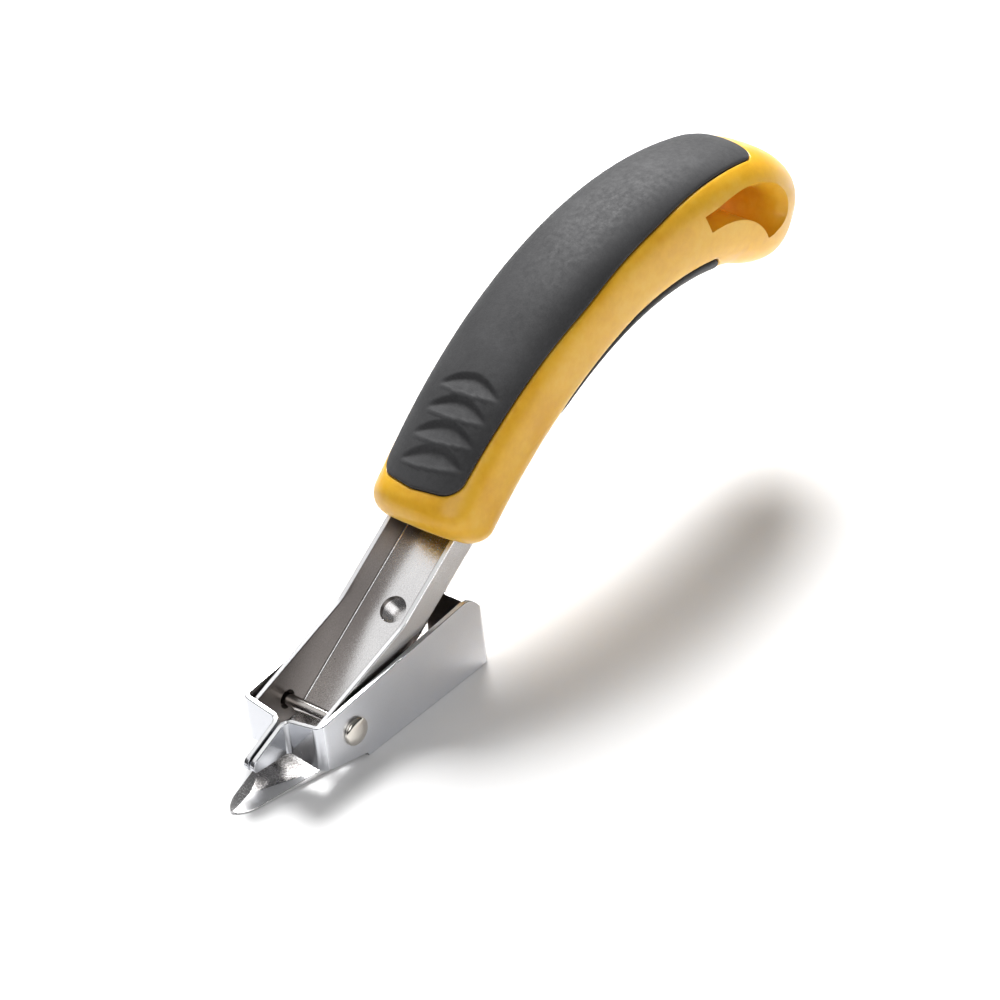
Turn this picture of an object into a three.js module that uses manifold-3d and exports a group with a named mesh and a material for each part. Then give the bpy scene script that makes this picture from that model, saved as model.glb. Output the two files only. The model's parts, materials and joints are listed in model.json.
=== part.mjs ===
// Lever-type staple remover: a sprung sheet-steel jaw with a nose, riveted to a steel lever whose
// front end is a wedge beak and whose tang is moulded into a curved two-colour handle.
// Millimetres, +X towards the beak's tip, +Z up. The origin is the centre of the jaw's flat sole.
import * as THREE from 'three';
import { mergeVertices } from 'three/addons/utils/BufferGeometryUtils.js';
import Module from 'manifold-3d';

const wasm = await Module();
wasm.setup();

// ---- Driving dimensions -------------------------------------------------------------------------
const SHEET = 1.3;            // steel sheet of the jaw and of the lever
const GAP = 0.3;              // clearance between pieces that touch or run together
const ARC_STEPS = 8;          // straight steps in one rounded corner
const SLIVER = 0.005;         // facets thinner than this, left by cuts, are merged away
const OVERRUN = 1;            // how far a cutting shape runs past what it cuts
const LOWEST_Z = -20;         // plan-view cutting shapes reach from here ...
const HIGHEST_Z = 90;         // ... to here

const PIVOT_HEIGHT = 9.3;     // rivet axis above the sole
const HEEL_X = -45.4;         // every X and Z below is counted from the rivet axis
const NOTCH_X = -2.9;         // front end of the sole, where the lever's floor passes the jaw's floor
const NOTCH_STEP = 1;         // how far the plates' lower edge steps up there
const PIVOT_X = 23.35;        // the rivet's place ahead of the sole's origin

const JAW_HALF_WIDTH = 11.9;
const JAW_FRONT_X = 10.8;
const JAW_TOP_FRONT = 7.1;
const JAW_TOP_REAR = 10.9;    // the plates grow taller towards the heel
const JAW_SHOULDER_X = -41.4; // where their rounded upper rear corner stands
const JAW_SHOULDER_ROUND = 5;
const HEEL_TAB_TOP = 5.1;
const HEEL_TAB_ROUND = 1;
const JAW_CORNER_BOTTOM = -5.3;
const HEEL_BEND = 1.6;        // bend radii, middle of the sheet
const FRONT_BEND = 1.3;
const HEEL_TAB_END_Y = -6.1;  // free end of the tab that closes the heel
const LEFT_PLATE_REAR_X = -43.4;
const NOSE_HALF_WIDTH = 1.6;
const NOSE_ROOT_TOP = 5.0;
const NOSE_ROOT_BOTTOM = -3.6;
const NOSE_TIP_X = 22.2;
const NOSE_TIP_RADIUS = 1.35;
const NOSE_TIP_Z = -1.0;

const PIN_RADIUS = 1.5;
const PIN_HEAD_RADIUS = 3.45;
const PIN_HEAD_HEIGHT = 1.3;
const PIN_HEAD_RIM = 0.25;    // straight part of the head under its dome
const LEVER_HOLE_RADIUS = 2.3;

const LEVER_HALF_WIDTH = 10;
const LEVER_ANGLE = THREE.MathUtils.degToRad(32.2);
const LEVER_FLOOR = -5.5;     // inner face of the floor, measured square to the lever from the rivet
const LEVER_WALL_TOP = 1.2;   // top edge of the walls, measured the same way
const LEVER_KINK_S = 25.5;    // where the wall starts to rise, measured along the lever
const LEVER_CORNER = [9.15, 5.4];
const TANG_END_S = 68;
const FLOOR_HOLE_S = 29.6;
const FLOOR_HOLE_RADIUS = 3.3;

const BEAK_TIP_X = 29;
const BEAK_THICKNESS = 1.6;
const BEAK_BOTTOM = -PIVOT_HEIGHT + 0.1;
const BEAK_ROOT_X = 9.4;
const BEAK_ROOT_HALF = 7.4;
const BEAK_CORNER_X = 26.3;
const BEAK_CORNER_HALF = 3.3;
const BEAK_RIDGE_X = 23.2;    // where the two ground bevels meet on the centre line
const BEAK_EDGE = 0.25;       // thickness left at the ground edge
const BEAK_TIP_HALF = 1.6;
const BEVEL_INSET = 0.4;      // the bevel's rear end stands this far inside the edge

const SPRING_WIDTH = 8;
const SPRING_SHEET = 0.6;
const SPRING_LEG = 22;
const SPRING_FOOT = 4;        // how far the lower leg runs on behind its rivet
const SPRING_BEND = 1.4;
const SPRING_RIVET_X = -31;
const SPRING_HEAD_RADIUS = 2.4;
const SPRING_HEAD_HEIGHT = 0.9;

// Handle: a swept oval whose centre line is one cubic curve in the XZ plane.
const HANDLE_CURVE = [[-41.1, 25.7], [-76.8, 58.8], [-126.8, 76.3], [-171.8, 45.2]];
const HANDLE_HALF_HEIGHT = [11.2, 13.6, 15.3];   // at the front, the middle and the tail
const HANDLE_HALF_WIDTH = [14.4, 14.8, 15.8];
const HANDLE_ROUNDNESS = 2.6;                    // exponent of the oval section
const HANDLE_STEPS = 36;
const END_CROWDING = 0.8;                        // how much closer the steps lie at the two ends
const SECTION_STEPS = 32;
const RIM_RADIUS = 5.6;
const RIM_LEAN = 0.12;                           // slope of the front face, whose lower end lies back
const LEAN_LENGTH = 0.2;                         // share of the length over which the lean fades
const TAIL_ROUND = 0.177;                        // share of the length that the tail's round takes
const TAIL_ROUNDNESS = 2.6;
const TAIL_DROOP = 3.1;                          // how far the tail's end sinks below the curve
const TAIL_FLAT = 0.01;                          // leaves a small flat at the tail's end
const GRIP_DEPTH = 1.8;
const GRIP_PROUD = 0.3;
const GRIP_LOWEST = 30;       // both grips lie above this height
const GRIP_MARGIN = 0.06;     // turn, in radians, between a grip's band and the widest line
const TOP_GRIP_FRONT_X = -37.6;
const TOP_GRIP_TAIL_X = -154.6;
const BOTTOM_GRIP_FRONT_X = -70;
const BOTTOM_GRIP_TAIL_X = -139.5;
const MOUTH_S = [36, 56];     // stretch of the lever along which the handle's mouth is hollow

// ---- Materials ----------------------------------------------------------------------------------
const chrome = new THREE.MeshStandardMaterial({ color: 0xc8cbd0, roughness: 0.2, metalness: 1 });
const satinSteel = new THREE.MeshStandardMaterial({ color: 0xa9a7a6, roughness: 0.35, metalness: 1 });
const springSteel = new THREE.MeshStandardMaterial({ color: 0x5b5f66, roughness: 0.4, metalness: 1 });
const yellowPlastic = new THREE.MeshStandardMaterial({ color: 0xf2b82c, roughness: 0.4, metalness: 0 });
const blackRubber = new THREE.MeshStandardMaterial({ color: 0x3a3a3c, roughness: 0.75, metalness: 0 });

// ---- Solids -------------------------------------------------------------------------------------
function solid(geometry) {
  const bare = geometry.index ? geometry.toNonIndexed() : geometry.clone();
  bare.deleteAttribute('normal');
  bare.deleteAttribute('uv');
  const merged = mergeVertices(bare, 1e-4);
  return new wasm.Manifold(new wasm.Mesh({
    numProp: 3,
    vertProperties: new Float32Array(merged.attributes.position.array),
    triVerts: new Uint32Array(merged.index.array),
  }));
}

function named(name, body, material) {
  const { vertProperties, triVerts } = body.asOriginal().simplify(SLIVER).getMesh();
  const geometry = new THREE.BufferGeometry();
  geometry.setAttribute('position', new THREE.BufferAttribute(new Float32Array(vertProperties), 3));
  geometry.setIndex(new THREE.BufferAttribute(new Uint32Array(triVerts), 1));
  geometry.computeVertexNormals();
  const mesh = new THREE.Mesh(geometry, material);
  mesh.name = name;
  return mesh;
}

function join(...bodies) {
  return bodies.reduce((whole, body) => whole.add(body));
}

// Extrudes a flat shape from `start` to `end` along an axis. The shape's own x and y become the
// X and Z of an outline seen from the side, the Y and Z of one seen from the front, or the X and Y
// of one seen from above.
const FROM = {
  side: [new THREE.Vector3(1, 0, 0), new THREE.Vector3(0, 0, 1), new THREE.Vector3(0, -1, 0)],
  front: [new THREE.Vector3(0, 1, 0), new THREE.Vector3(0, 0, 1), new THREE.Vector3(1, 0, 0)],
  above: [new THREE.Vector3(1, 0, 0), new THREE.Vector3(0, 1, 0), new THREE.Vector3(0, 0, 1)],
};
function prism(shape, view, start, end) {
  const geometry = new THREE.ExtrudeGeometry(shape, {
    depth: end - start, bevelEnabled: false, curveSegments: ARC_STEPS,
  });
  geometry.translate(0, 0, view === 'side' ? -end : start);
  geometry.applyMatrix4(new THREE.Matrix4().makeBasis(...FROM[view]));
  return solid(geometry);
}

// A path through corner points [x, y, radius], with an arc of that radius at each corner.
function roundedPath(corners, target = new THREE.Path(), closed = false) {
  const count = corners.length;
  const at = (i) => new THREE.Vector2(...corners[(i + count) % count].slice(0, 2));
  for (let i = 0; i < count; i += 1) {
    const here = at(i);
    const radius = corners[i][2] ?? 0;
    const open = !closed && (i === 0 || i === count - 1);
    if (radius === 0 || open) {
      if (i === 0) target.moveTo(here.x, here.y);
      else target.lineTo(here.x, here.y);
      continue;
    }
    const back = at(i - 1).sub(here).normalize();
    const ahead = at(i + 1).sub(here).normalize();
    const half = Math.acos(THREE.MathUtils.clamp(back.dot(ahead), -1, 1)) / 2;
    const entry = here.clone().addScaledVector(back, radius / Math.tan(half));
    const exit = here.clone().addScaledVector(ahead, radius / Math.tan(half));
    const middle = back.clone().add(ahead).normalize();
    const centre = here.clone().addScaledVector(middle, radius / Math.sin(half));
    if (i === 0) target.moveTo(entry.x, entry.y);
    else target.lineTo(entry.x, entry.y);
    const from = entry.sub(centre).angle();
    const to = exit.sub(centre).angle();
    target.absarc(centre.x, centre.y, radius, from, to, back.cross(ahead) > 0);
  }
  return target;
}

function outline(corners) {
  return roundedPath(corners, new THREE.Shape(), true);
}

// The edge view of a bent sheet: the corner points run along the middle of its thickness.
function ribbon(corners, thickness) {
  const line = roundedPath(corners).getPoints(ARC_STEPS / 2)
    .filter((point, i, all) => i === 0 || point.distanceTo(all[i - 1]) > 1e-4);
  const sideOf = (i) => {
    const before = line[i].clone().sub(line[Math.max(i - 1, 0)]).normalize();
    const after = line[Math.min(i + 1, line.length - 1)].clone().sub(line[i]).normalize();
    const along = before.clone().add(after).normalize();
    const stretch = before.length() && after.length() ? 1 / along.dot(after) : 1;
    return new THREE.Vector2(-along.y, along.x).multiplyScalar(stretch * thickness / 2);
  };
  const left = line.map((point, i) => point.clone().add(sideOf(i)));
  const right = line.map((point, i) => point.clone().sub(sideOf(i))).reverse();
  return new THREE.Shape([...left, ...right]);
}

function cylinderAcross(radius, x, z, halfLength = JAW_HALF_WIDTH + GAP) {
  return solid(new THREE.CylinderGeometry(radius, radius, 2 * halfLength, 24).translate(x, 0, z));
}

// ---- Jaw: one bent sheet with two plates, a floor, a heel tab, and flanges that form the nose ----
function jawFrame() {
  const plateY = JAW_HALF_WIDTH - SHEET / 2;
  const noseY = NOSE_HALF_WIDTH - SHEET / 2;
  const flangeX = JAW_FRONT_X - SHEET / 2;
  const reach = JAW_HALF_WIDTH + OVERRUN;
  const frontEnd = (side) => [
    [flangeX, side * plateY, FRONT_BEND], [flangeX, side * noseY, FRONT_BEND], [NOSE_TIP_X, side * noseY],
  ];
  const heelX = HEEL_X + SHEET / 2;
  const plateFront = JAW_FRONT_X - 2 * SHEET;
  const noseRootX = JAW_FRONT_X + SHEET / 4;
  const strips = join(
    prism(ribbon([[heelX, HEEL_TAB_END_Y], [heelX, plateY, HEEL_BEND], ...frontEnd(1)], SHEET),
      'above', -PIVOT_HEIGHT, JAW_TOP_REAR),
    prism(ribbon([[LEFT_PLATE_REAR_X, -plateY], ...frontEnd(-1)], SHEET),
      'above', -PIVOT_HEIGHT, JAW_TOP_REAR),
  );
  const sideView = prism(outline([
    [HEEL_X - OVERRUN, -PIVOT_HEIGHT - OVERRUN], [NOTCH_X, -PIVOT_HEIGHT - OVERRUN],
    [NOTCH_X, -PIVOT_HEIGHT + NOTCH_STEP], [plateFront, JAW_CORNER_BOTTOM - GAP], [plateFront, JAW_TOP_FRONT],
    [JAW_SHOULDER_X, JAW_TOP_REAR, JAW_SHOULDER_ROUND], [HEEL_X + GAP, HEEL_TAB_TOP, HEEL_TAB_ROUND],
    [HEEL_X - OVERRUN, HEEL_TAB_TOP],
  ]), 'side', -reach, reach);
  const frontView = prism(outline([
    [-reach, JAW_TOP_FRONT], [-NOSE_HALF_WIDTH, NOSE_ROOT_TOP], [NOSE_HALF_WIDTH, NOSE_ROOT_TOP],
    [reach, JAW_TOP_FRONT], [reach, JAW_CORNER_BOTTOM], [NOSE_HALF_WIDTH, NOSE_ROOT_BOTTOM],
    [-NOSE_HALF_WIDTH, NOSE_ROOT_BOTTOM], [-reach, JAW_CORNER_BOTTOM],
  ]), 'front', plateFront - GAP, noseRootX + GAP);
  const noseView = prism(outline([
    [noseRootX, NOSE_ROOT_TOP], [noseRootX, NOSE_ROOT_BOTTOM],
    [NOSE_TIP_X, NOSE_TIP_Z - NOSE_TIP_RADIUS, NOSE_TIP_RADIUS],
    [NOSE_TIP_X, NOSE_TIP_Z + NOSE_TIP_RADIUS, NOSE_TIP_RADIUS],
  ]), 'side', -2 * NOSE_HALF_WIDTH, 2 * NOSE_HALF_WIDTH);
  // The floor's edges end inside the thickness of the plates and of the heel tab.
  const floor = prism(outline([
    [LEFT_PLATE_REAR_X, -plateY], [NOTCH_X, -plateY], [NOTCH_X, plateY],
    [heelX, plateY, HEEL_BEND], [heelX, HEEL_TAB_END_Y + SHEET], [LEFT_PLATE_REAR_X, HEEL_TAB_END_Y + SHEET],
  ]), 'above', -PIVOT_HEIGHT, -PIVOT_HEIGHT + SHEET);
  const springHole = new THREE.CylinderGeometry(PIN_RADIUS, PIN_RADIUS, 4 * SHEET, 20);
  springHole.rotateX(Math.PI / 2).translate(SPRING_RIVET_X, 0, -PIVOT_HEIGHT);
  const bent = strips.intersect(join(sideView, frontView, noseView)).add(floor);
  return bent.subtract(cylinderAcross(PIN_RADIUS + GAP, 0, 0)).subtract(solid(springHole));
}

// A rivet about the Y axis: shank, and a domed head outside each jaw plate.
function pivotRivet() {
  const under = JAW_HALF_WIDTH + GAP;
  const dome = (side) => Array.from({ length: ARC_STEPS + 1 }, (_, i) => {
    const turn = (i / ARC_STEPS) * Math.PI / 2;
    return new THREE.Vector2(PIN_HEAD_RADIUS * Math.cos(turn),
      side * (under + PIN_HEAD_RIM + (PIN_HEAD_HEIGHT - PIN_HEAD_RIM) * Math.sin(turn)));
  });
  const half = (side) => [new THREE.Vector2(PIN_RADIUS, side * under),
    new THREE.Vector2(PIN_HEAD_RADIUS, side * under), ...dome(side)];
  const profile = [...half(-1).reverse(), ...half(1)];
  profile[0].x = 0;
  profile[profile.length - 1].x = 0;
  return solid(new THREE.LatheGeometry(profile, 24));
}

// A hairpin leaf: the lower leg lies on the jaw's floor, the upper leg bears under the lever's floor.
function returnSpring() {
  const lower = -PIVOT_HEIGHT + SHEET + GAP + SPRING_SHEET / 2;
  const upperOffset = LEVER_FLOOR - SHEET - GAP - SPRING_SHEET / 2;
  const onUpper = (s) => leverPoint(s, upperOffset);
  const cornerX = (upperOffset - lower * Math.cos(LEVER_ANGLE)) / Math.sin(LEVER_ANGLE);
  const shape = ribbon([[SPRING_RIVET_X - SPRING_FOOT, lower], [cornerX - SPRING_SHEET, lower, SPRING_BEND],
    onUpper(SPRING_LEG)], SPRING_SHEET);
  const hole = new THREE.CylinderGeometry(PIN_RADIUS, PIN_RADIUS, 4 * SPRING_SHEET, 20);
  hole.rotateX(Math.PI / 2).translate(SPRING_RIVET_X, 0, lower);
  return prism(shape, 'side', -SPRING_WIDTH / 2, SPRING_WIDTH / 2).subtract(solid(hole));
}

// Flush under the sole, with a low head on the spring's lower leg.
function springRivet() {
  const shank = PIN_RADIUS - GAP;
  const bottom = -PIVOT_HEIGHT + 0.05;
  const headBottom = -PIVOT_HEIGHT + SHEET + SPRING_SHEET + 2 * GAP;
  const headTop = headBottom + SPRING_HEAD_HEIGHT;
  const profile = [[0, bottom], [shank, bottom], [shank, headBottom], [SPRING_HEAD_RADIUS, headBottom],
    [0.92 * SPRING_HEAD_RADIUS, (headBottom + headTop) / 2],
    [0.6 * SPRING_HEAD_RADIUS, headTop], [0, headTop]];
  const turned = new THREE.LatheGeometry(profile.map((p) => new THREE.Vector2(...p)), 20);
  return solid(turned.rotateX(Math.PI / 2).translate(SPRING_RIVET_X, 0, 0));
}

// ---- Lever --------------------------------------------------------------------------------------
// A point `s` back along the lever from the rivet and `h` square to it.
function leverPoint(s, h) {
  const cos = Math.cos(LEVER_ANGLE);
  const sin = Math.sin(LEVER_ANGLE);
  return [-s * cos + h * sin, s * sin + h * cos];
}

function leverWalls(inner, outer, grow = 0) {
  const lobe = -LEVER_FLOOR;
  const cornerAngle = Math.atan2(LEVER_CORNER[1], LEVER_CORNER[0]);
  const tangent = cornerAngle - Math.acos(lobe / Math.hypot(...LEVER_CORNER));
  const foot = -Math.PI / 2 - LEVER_ANGLE;
  const shape = new THREE.Shape();
  shape.moveTo(...LEVER_CORNER);
  shape.absarc(0, 0, lobe, tangent, foot, true);
  shape.lineTo(...leverPoint(0, LEVER_FLOOR - SHEET - grow));
  shape.lineTo(...leverPoint(TANG_END_S + grow, LEVER_FLOOR - SHEET - grow));
  shape.lineTo(...leverPoint(TANG_END_S + grow, LEVER_WALL_TOP + grow));
  shape.lineTo(...leverPoint(LEVER_KINK_S, LEVER_WALL_TOP + grow));
  shape.closePath();
  return join(prism(shape, 'side', inner, outer), prism(shape, 'side', -outer, -inner));
}

function leverFloor(halfWidth, grow = 0) {
  const middle = LEVER_FLOOR - SHEET / 2;
  const beakMiddle = BEAK_BOTTOM + BEAK_THICKNESS / 2;
  const bendX = (middle - beakMiddle * Math.cos(LEVER_ANGLE)) / Math.sin(LEVER_ANGLE);
  const ribbonShape = ribbon([[BEAK_TIP_X + OVERRUN, beakMiddle], [bendX, beakMiddle, 2],
    leverPoint(TANG_END_S + grow, middle)], SHEET + 2 * grow);
  const thick = BEAK_BOTTOM + BEAK_THICKNESS;
  const beakSide = outline([[bendX, BEAK_BOTTOM], [BEAK_TIP_X + OVERRUN, BEAK_BOTTOM],
    [BEAK_TIP_X + OVERRUN, thick], [bendX + SHEET, thick]]);
  const side = [
    [leverPoint(TANG_END_S + 2 * grow + OVERRUN, 0)[0], halfWidth], [NOTCH_X, halfWidth],
    [BEAK_ROOT_X, BEAK_ROOT_HALF], [BEAK_CORNER_X, BEAK_CORNER_HALF, BEAK_TIP_HALF],
    [BEAK_TIP_X, BEAK_TIP_HALF],
  ];
  const plan = mirroredOutline(side);
  const strip = prism(ribbonShape, 'side', -halfWidth, halfWidth);
  return strip.add(prism(beakSide, 'side', -halfWidth, halfWidth))
    .intersect(prism(plan, 'above', LOWEST_Z, HIGHEST_Z));
}

// A block whose lower face is the bevel ground on one side of the beak.
function bevelCutter(side) {
  const top = BEAK_BOTTOM + BEAK_THICKNESS;
  const root = new THREE.Vector3(BEAK_ROOT_X, side * (BEAK_ROOT_HALF - BEVEL_INSET), top);
  const ridge = new THREE.Vector3(BEAK_RIDGE_X, 0, top);
  const edge = new THREE.Vector3(BEAK_CORNER_X, side * BEAK_CORNER_HALF, BEAK_BOTTOM + BEAK_EDGE);
  const along = ridge.clone().sub(root).normalize();
  const up = along.clone().cross(edge.clone().sub(root)).normalize();
  if (up.z < 0) up.negate();
  const across = up.clone().cross(along);
  const behind = ridge.distanceTo(root) + OVERRUN;
  const ahead = 2 * (BEAK_TIP_X - BEAK_RIDGE_X);
  const block = new THREE.BoxGeometry(behind + ahead, 6 * BEAK_ROOT_HALF, BEAK_ROOT_HALF);
  block.translate((ahead - behind) / 2, 0, BEAK_ROOT_HALF / 2);
  block.applyMatrix4(new THREE.Matrix4().makeBasis(along, across, up));
  return solid(block.translate(ridge.x, ridge.y, ridge.z));
}

function leverArm() {
  const hole = new THREE.CylinderGeometry(FLOOR_HOLE_RADIUS, FLOOR_HOLE_RADIUS, 6 * SHEET, 32);
  const [holeX, holeZ] = leverPoint(FLOOR_HOLE_S, LEVER_FLOOR);
  hole.rotateX(Math.PI / 2).rotateY(LEVER_ANGLE).translate(holeX, 0, holeZ);
  const floor = leverFloor(LEVER_HALF_WIDTH).subtract(bevelCutter(1)).subtract(bevelCutter(-1));
  return join(floor, leverWalls(LEVER_HALF_WIDTH - SHEET, LEVER_HALF_WIDTH))
    .subtract(cylinderAcross(LEVER_HOLE_RADIUS, 0, 0)).subtract(solid(hole));
}

// ---- Handle -------------------------------------------------------------------------------------
const handleLine = new THREE.CubicBezierCurve(...HANDLE_CURVE.map((p) => new THREE.Vector2(...p)));

function between([front, middle, tail], t) {
  return front * (1 - t) * (1 - 2 * t) + middle * 4 * t * (1 - t) + tail * t * (2 * t - 1);
}

// 0 before the tail starts to round off, 1 at its very end.
function tailShare(t) {
  return Math.max(0, 1 - (1 - t) / TAIL_ROUND);
}

// How far the section has shrunk at the rounded tail.
function tailScale(t) {
  return Math.max(TAIL_FLAT, 1 - tailShare(t) ** TAIL_ROUNDNESS) ** (1 / TAIL_ROUNDNESS);
}

// How far the skin is drawn in along the arc that rounds the front rim. Near its start the curve
// runs three times its first control arm per unit of t.
const RIM_SHARE = RIM_RADIUS / (3 * handleLine.v0.distanceTo(handleLine.v1));
function rimInset(t) {
  const rim = Math.max(0, 1 - t / RIM_SHARE);
  return RIM_RADIUS * (1 - Math.sqrt(1 - rim * rim));
}

// A point on the handle's skin: t along it, turn around it (a quarter turn is the top), and how far
// outside the skin it lies.
function handlePoint(t, turn, outside) {
  const centre = handleLine.getPoint(t);
  const along = handleLine.getTangent(t);
  const power = 2 / HANDLE_ROUNDNESS;
  const across = Math.sign(Math.cos(turn)) * Math.abs(Math.cos(turn)) ** power;
  const up = Math.sign(Math.sin(turn)) * Math.abs(Math.sin(turn)) ** power;
  const out = outside - rimInset(t);
  const height = (between(HANDLE_HALF_HEIGHT, t) * tailScale(t) + out) * up - TAIL_DROOP * tailShare(t);
  const width = (between(HANDLE_HALF_WIDTH, t) * tailScale(t) + out) * across;
  const lean = -RIM_LEAN * height * Math.max(0, 1 - t / LEAN_LENGTH) ** 2;
  return [
    centre.x + along.y * height + along.x * lean,
    width,
    centre.y - along.x * height + along.y * lean,
  ];
}

// Closed sweep of one ring of [turn, outside] points along the handle.
function handleSweep(ring) {
  const steps = HANDLE_STEPS;
  const places = Array.from({ length: steps + 1 }, (_, i) => {
    const even = i / steps;
    return even - END_CROWDING * Math.sin(2 * Math.PI * even) / (2 * Math.PI);
  });
  const rows = places.map((t) => ring.map(([turn, outside]) => handlePoint(t, turn, outside)));
  const count = ring.length;
  const centreOf = (row) => [0, 1, 2].map((k) => row.reduce((sum, p) => sum + p[k], 0) / count);
  const positions = [...rows.flat(), centreOf(rows[0]), centreOf(rows[steps])];
  const first = rows.length * count;
  const faces = [];
  for (let j = 0; j < count; j += 1) {
    const next = (j + 1) % count;
    for (let i = 0; i < steps; i += 1) {
      const [a, b, c, d] = [i * count + j, i * count + next, (i + 1) * count + next, (i + 1) * count + j];
      faces.push(a, c, b, a, d, c);
    }
    faces.push(first, j, next);
    faces.push(first + 1, steps * count + next, steps * count + j);
  }
  const geometry = new THREE.BufferGeometry();
  geometry.setAttribute('position', new THREE.Float32BufferAttribute(positions.flat(), 3));
  geometry.setIndex(faces);
  return solid(geometry);
}

function fullRing(outside) {
  return Array.from({ length: SECTION_STEPS }, (_, i) => [(i / SECTION_STEPS) * 2 * Math.PI, outside]);
}

// A band over the top (side 1) or under the belly (side -1), between two depths.
function bandRing(side, inner, outer) {
  const steps = SECTION_STEPS / 2;
  const sweep = Math.PI - 2 * GRIP_MARGIN;
  const turns = Array.from({ length: steps + 1 }, (_, i) => side * (GRIP_MARGIN + (i / steps) * sweep));
  const out = turns.map((turn) => [turn, outer]);
  const back = turns.map((turn) => [turn, inner]).reverse();
  return side > 0 ? [...out, ...back] : [...out, ...back].reverse();
}

// Plan outlines of the two soft grips, grown by `grow`.
function topGripPlan(grow) {
  const front = TOP_GRIP_FRONT_X + grow;
  const tail = TOP_GRIP_TAIL_X - grow;
  const half = [[front, 11.6 + grow, 6], [(front + tail) / 2, 13.4 + grow, 60], [tail, 9.8 + grow, 3]];
  return mirroredOutline(half);
}

function bottomGripPlan(grow) {
  const front = [BOTTOM_GRIP_FRONT_X + grow, 11 + grow, 6];
  return mirroredOutline([front, [BOTTOM_GRIP_TAIL_X - grow, 12.6 + grow, 4]]);
}

function mirroredOutline(half) {
  return outline([...half, ...half.map(([x, y, radius]) => [x, -y, radius]).reverse()]);
}

function grip(side, plan) {
  return handleSweep(bandRing(side, -GRIP_DEPTH, GRIP_PROUD))
    .intersect(prism(plan(0), 'above', GRIP_LOWEST, HIGHEST_Z));
}

function gripRecess(side, plan) {
  return handleSweep(bandRing(side, -GRIP_DEPTH - GAP, GRIP_PROUD + 3 * OVERRUN))
    .intersect(prism(plan(GAP), 'above', GRIP_LOWEST, HIGHEST_Z));
}

// The hanging slot through the tail: it follows the tail's outer curve around a rounded lobe.
function tailSlot() {
  const shape = new THREE.Shape();
  shape.moveTo(-130, 66.2);
  shape.quadraticCurveTo(-143.5, 65.4, -153.4, 60.8);
  shape.quadraticCurveTo(-159.8, 57.2, -158.6, 52);
  shape.quadraticCurveTo(-156.6, 48.2, -152.4, 48.8);
  shape.quadraticCurveTo(-147, 61.2, -131.6, 61.2);
  shape.closePath();
  return prism(shape, 'side', -HANDLE_HALF_WIDTH[2] - OVERRUN, HANDLE_HALF_WIDTH[2] + OVERRUN);
}

// Room for the tang, which the handle's plastic is moulded around, and the open mouth at the rim.
function tangRoom() {
  const outer = LEVER_HALF_WIDTH + GAP;
  const inner = LEVER_HALF_WIDTH - SHEET - GAP;
  const [front, rear] = MOUTH_S;
  const mouth = outline([leverPoint(front, LEVER_FLOOR), leverPoint(rear, LEVER_FLOOR),
    leverPoint(rear, LEVER_WALL_TOP), leverPoint(front, LEVER_WALL_TOP)]);
  return join(leverWalls(inner, outer, GAP), leverFloor(outer, GAP), prism(mouth, 'side', -outer, outer));
}

function handleBody() {
  return handleSweep(fullRing(0))
    .subtract(gripRecess(1, topGripPlan))
    .subtract(gripRecess(-1, bottomGripPlan))
    .subtract(tailSlot())
    .subtract(tangRoom());
}

// ---- Assembly -----------------------------------------------------------------------------------
const jaw = new THREE.Group();
jaw.add(
  named('jaw_frame', jawFrame(), chrome),
  named('pivot_rivet', pivotRivet(), satinSteel),
  named('return_spring', returnSpring(), springSteel),
  named('spring_rivet', springRivet(), satinSteel),
);

const lever = new THREE.Group();
lever.add(
  named('lever_arm', leverArm(), chrome),
  named('handle_body', handleBody(), yellowPlastic),
  named('top_grip', grip(1, topGripPlan), blackRubber),
  named('bottom_grip', grip(-1, bottomGripPlan), blackRubber),
);

const staple_remover = new THREE.Group();
staple_remover.add(jaw, lever);
staple_remover.position.set(PIVOT_X, 0, PIVOT_HEIGHT);

export default staple_remover;
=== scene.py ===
"""Looks of a lever-type staple remover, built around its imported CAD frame.

Lengths in the shape functions are millimetres counted from the rivet's axis: X runs forward to the
beak's tip, Z up. put() turns them into the frame's metres.
"""

import json
import math

import bmesh
import bpy
import numpy as np
from mathutils import Matrix, Quaternion, Vector


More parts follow.
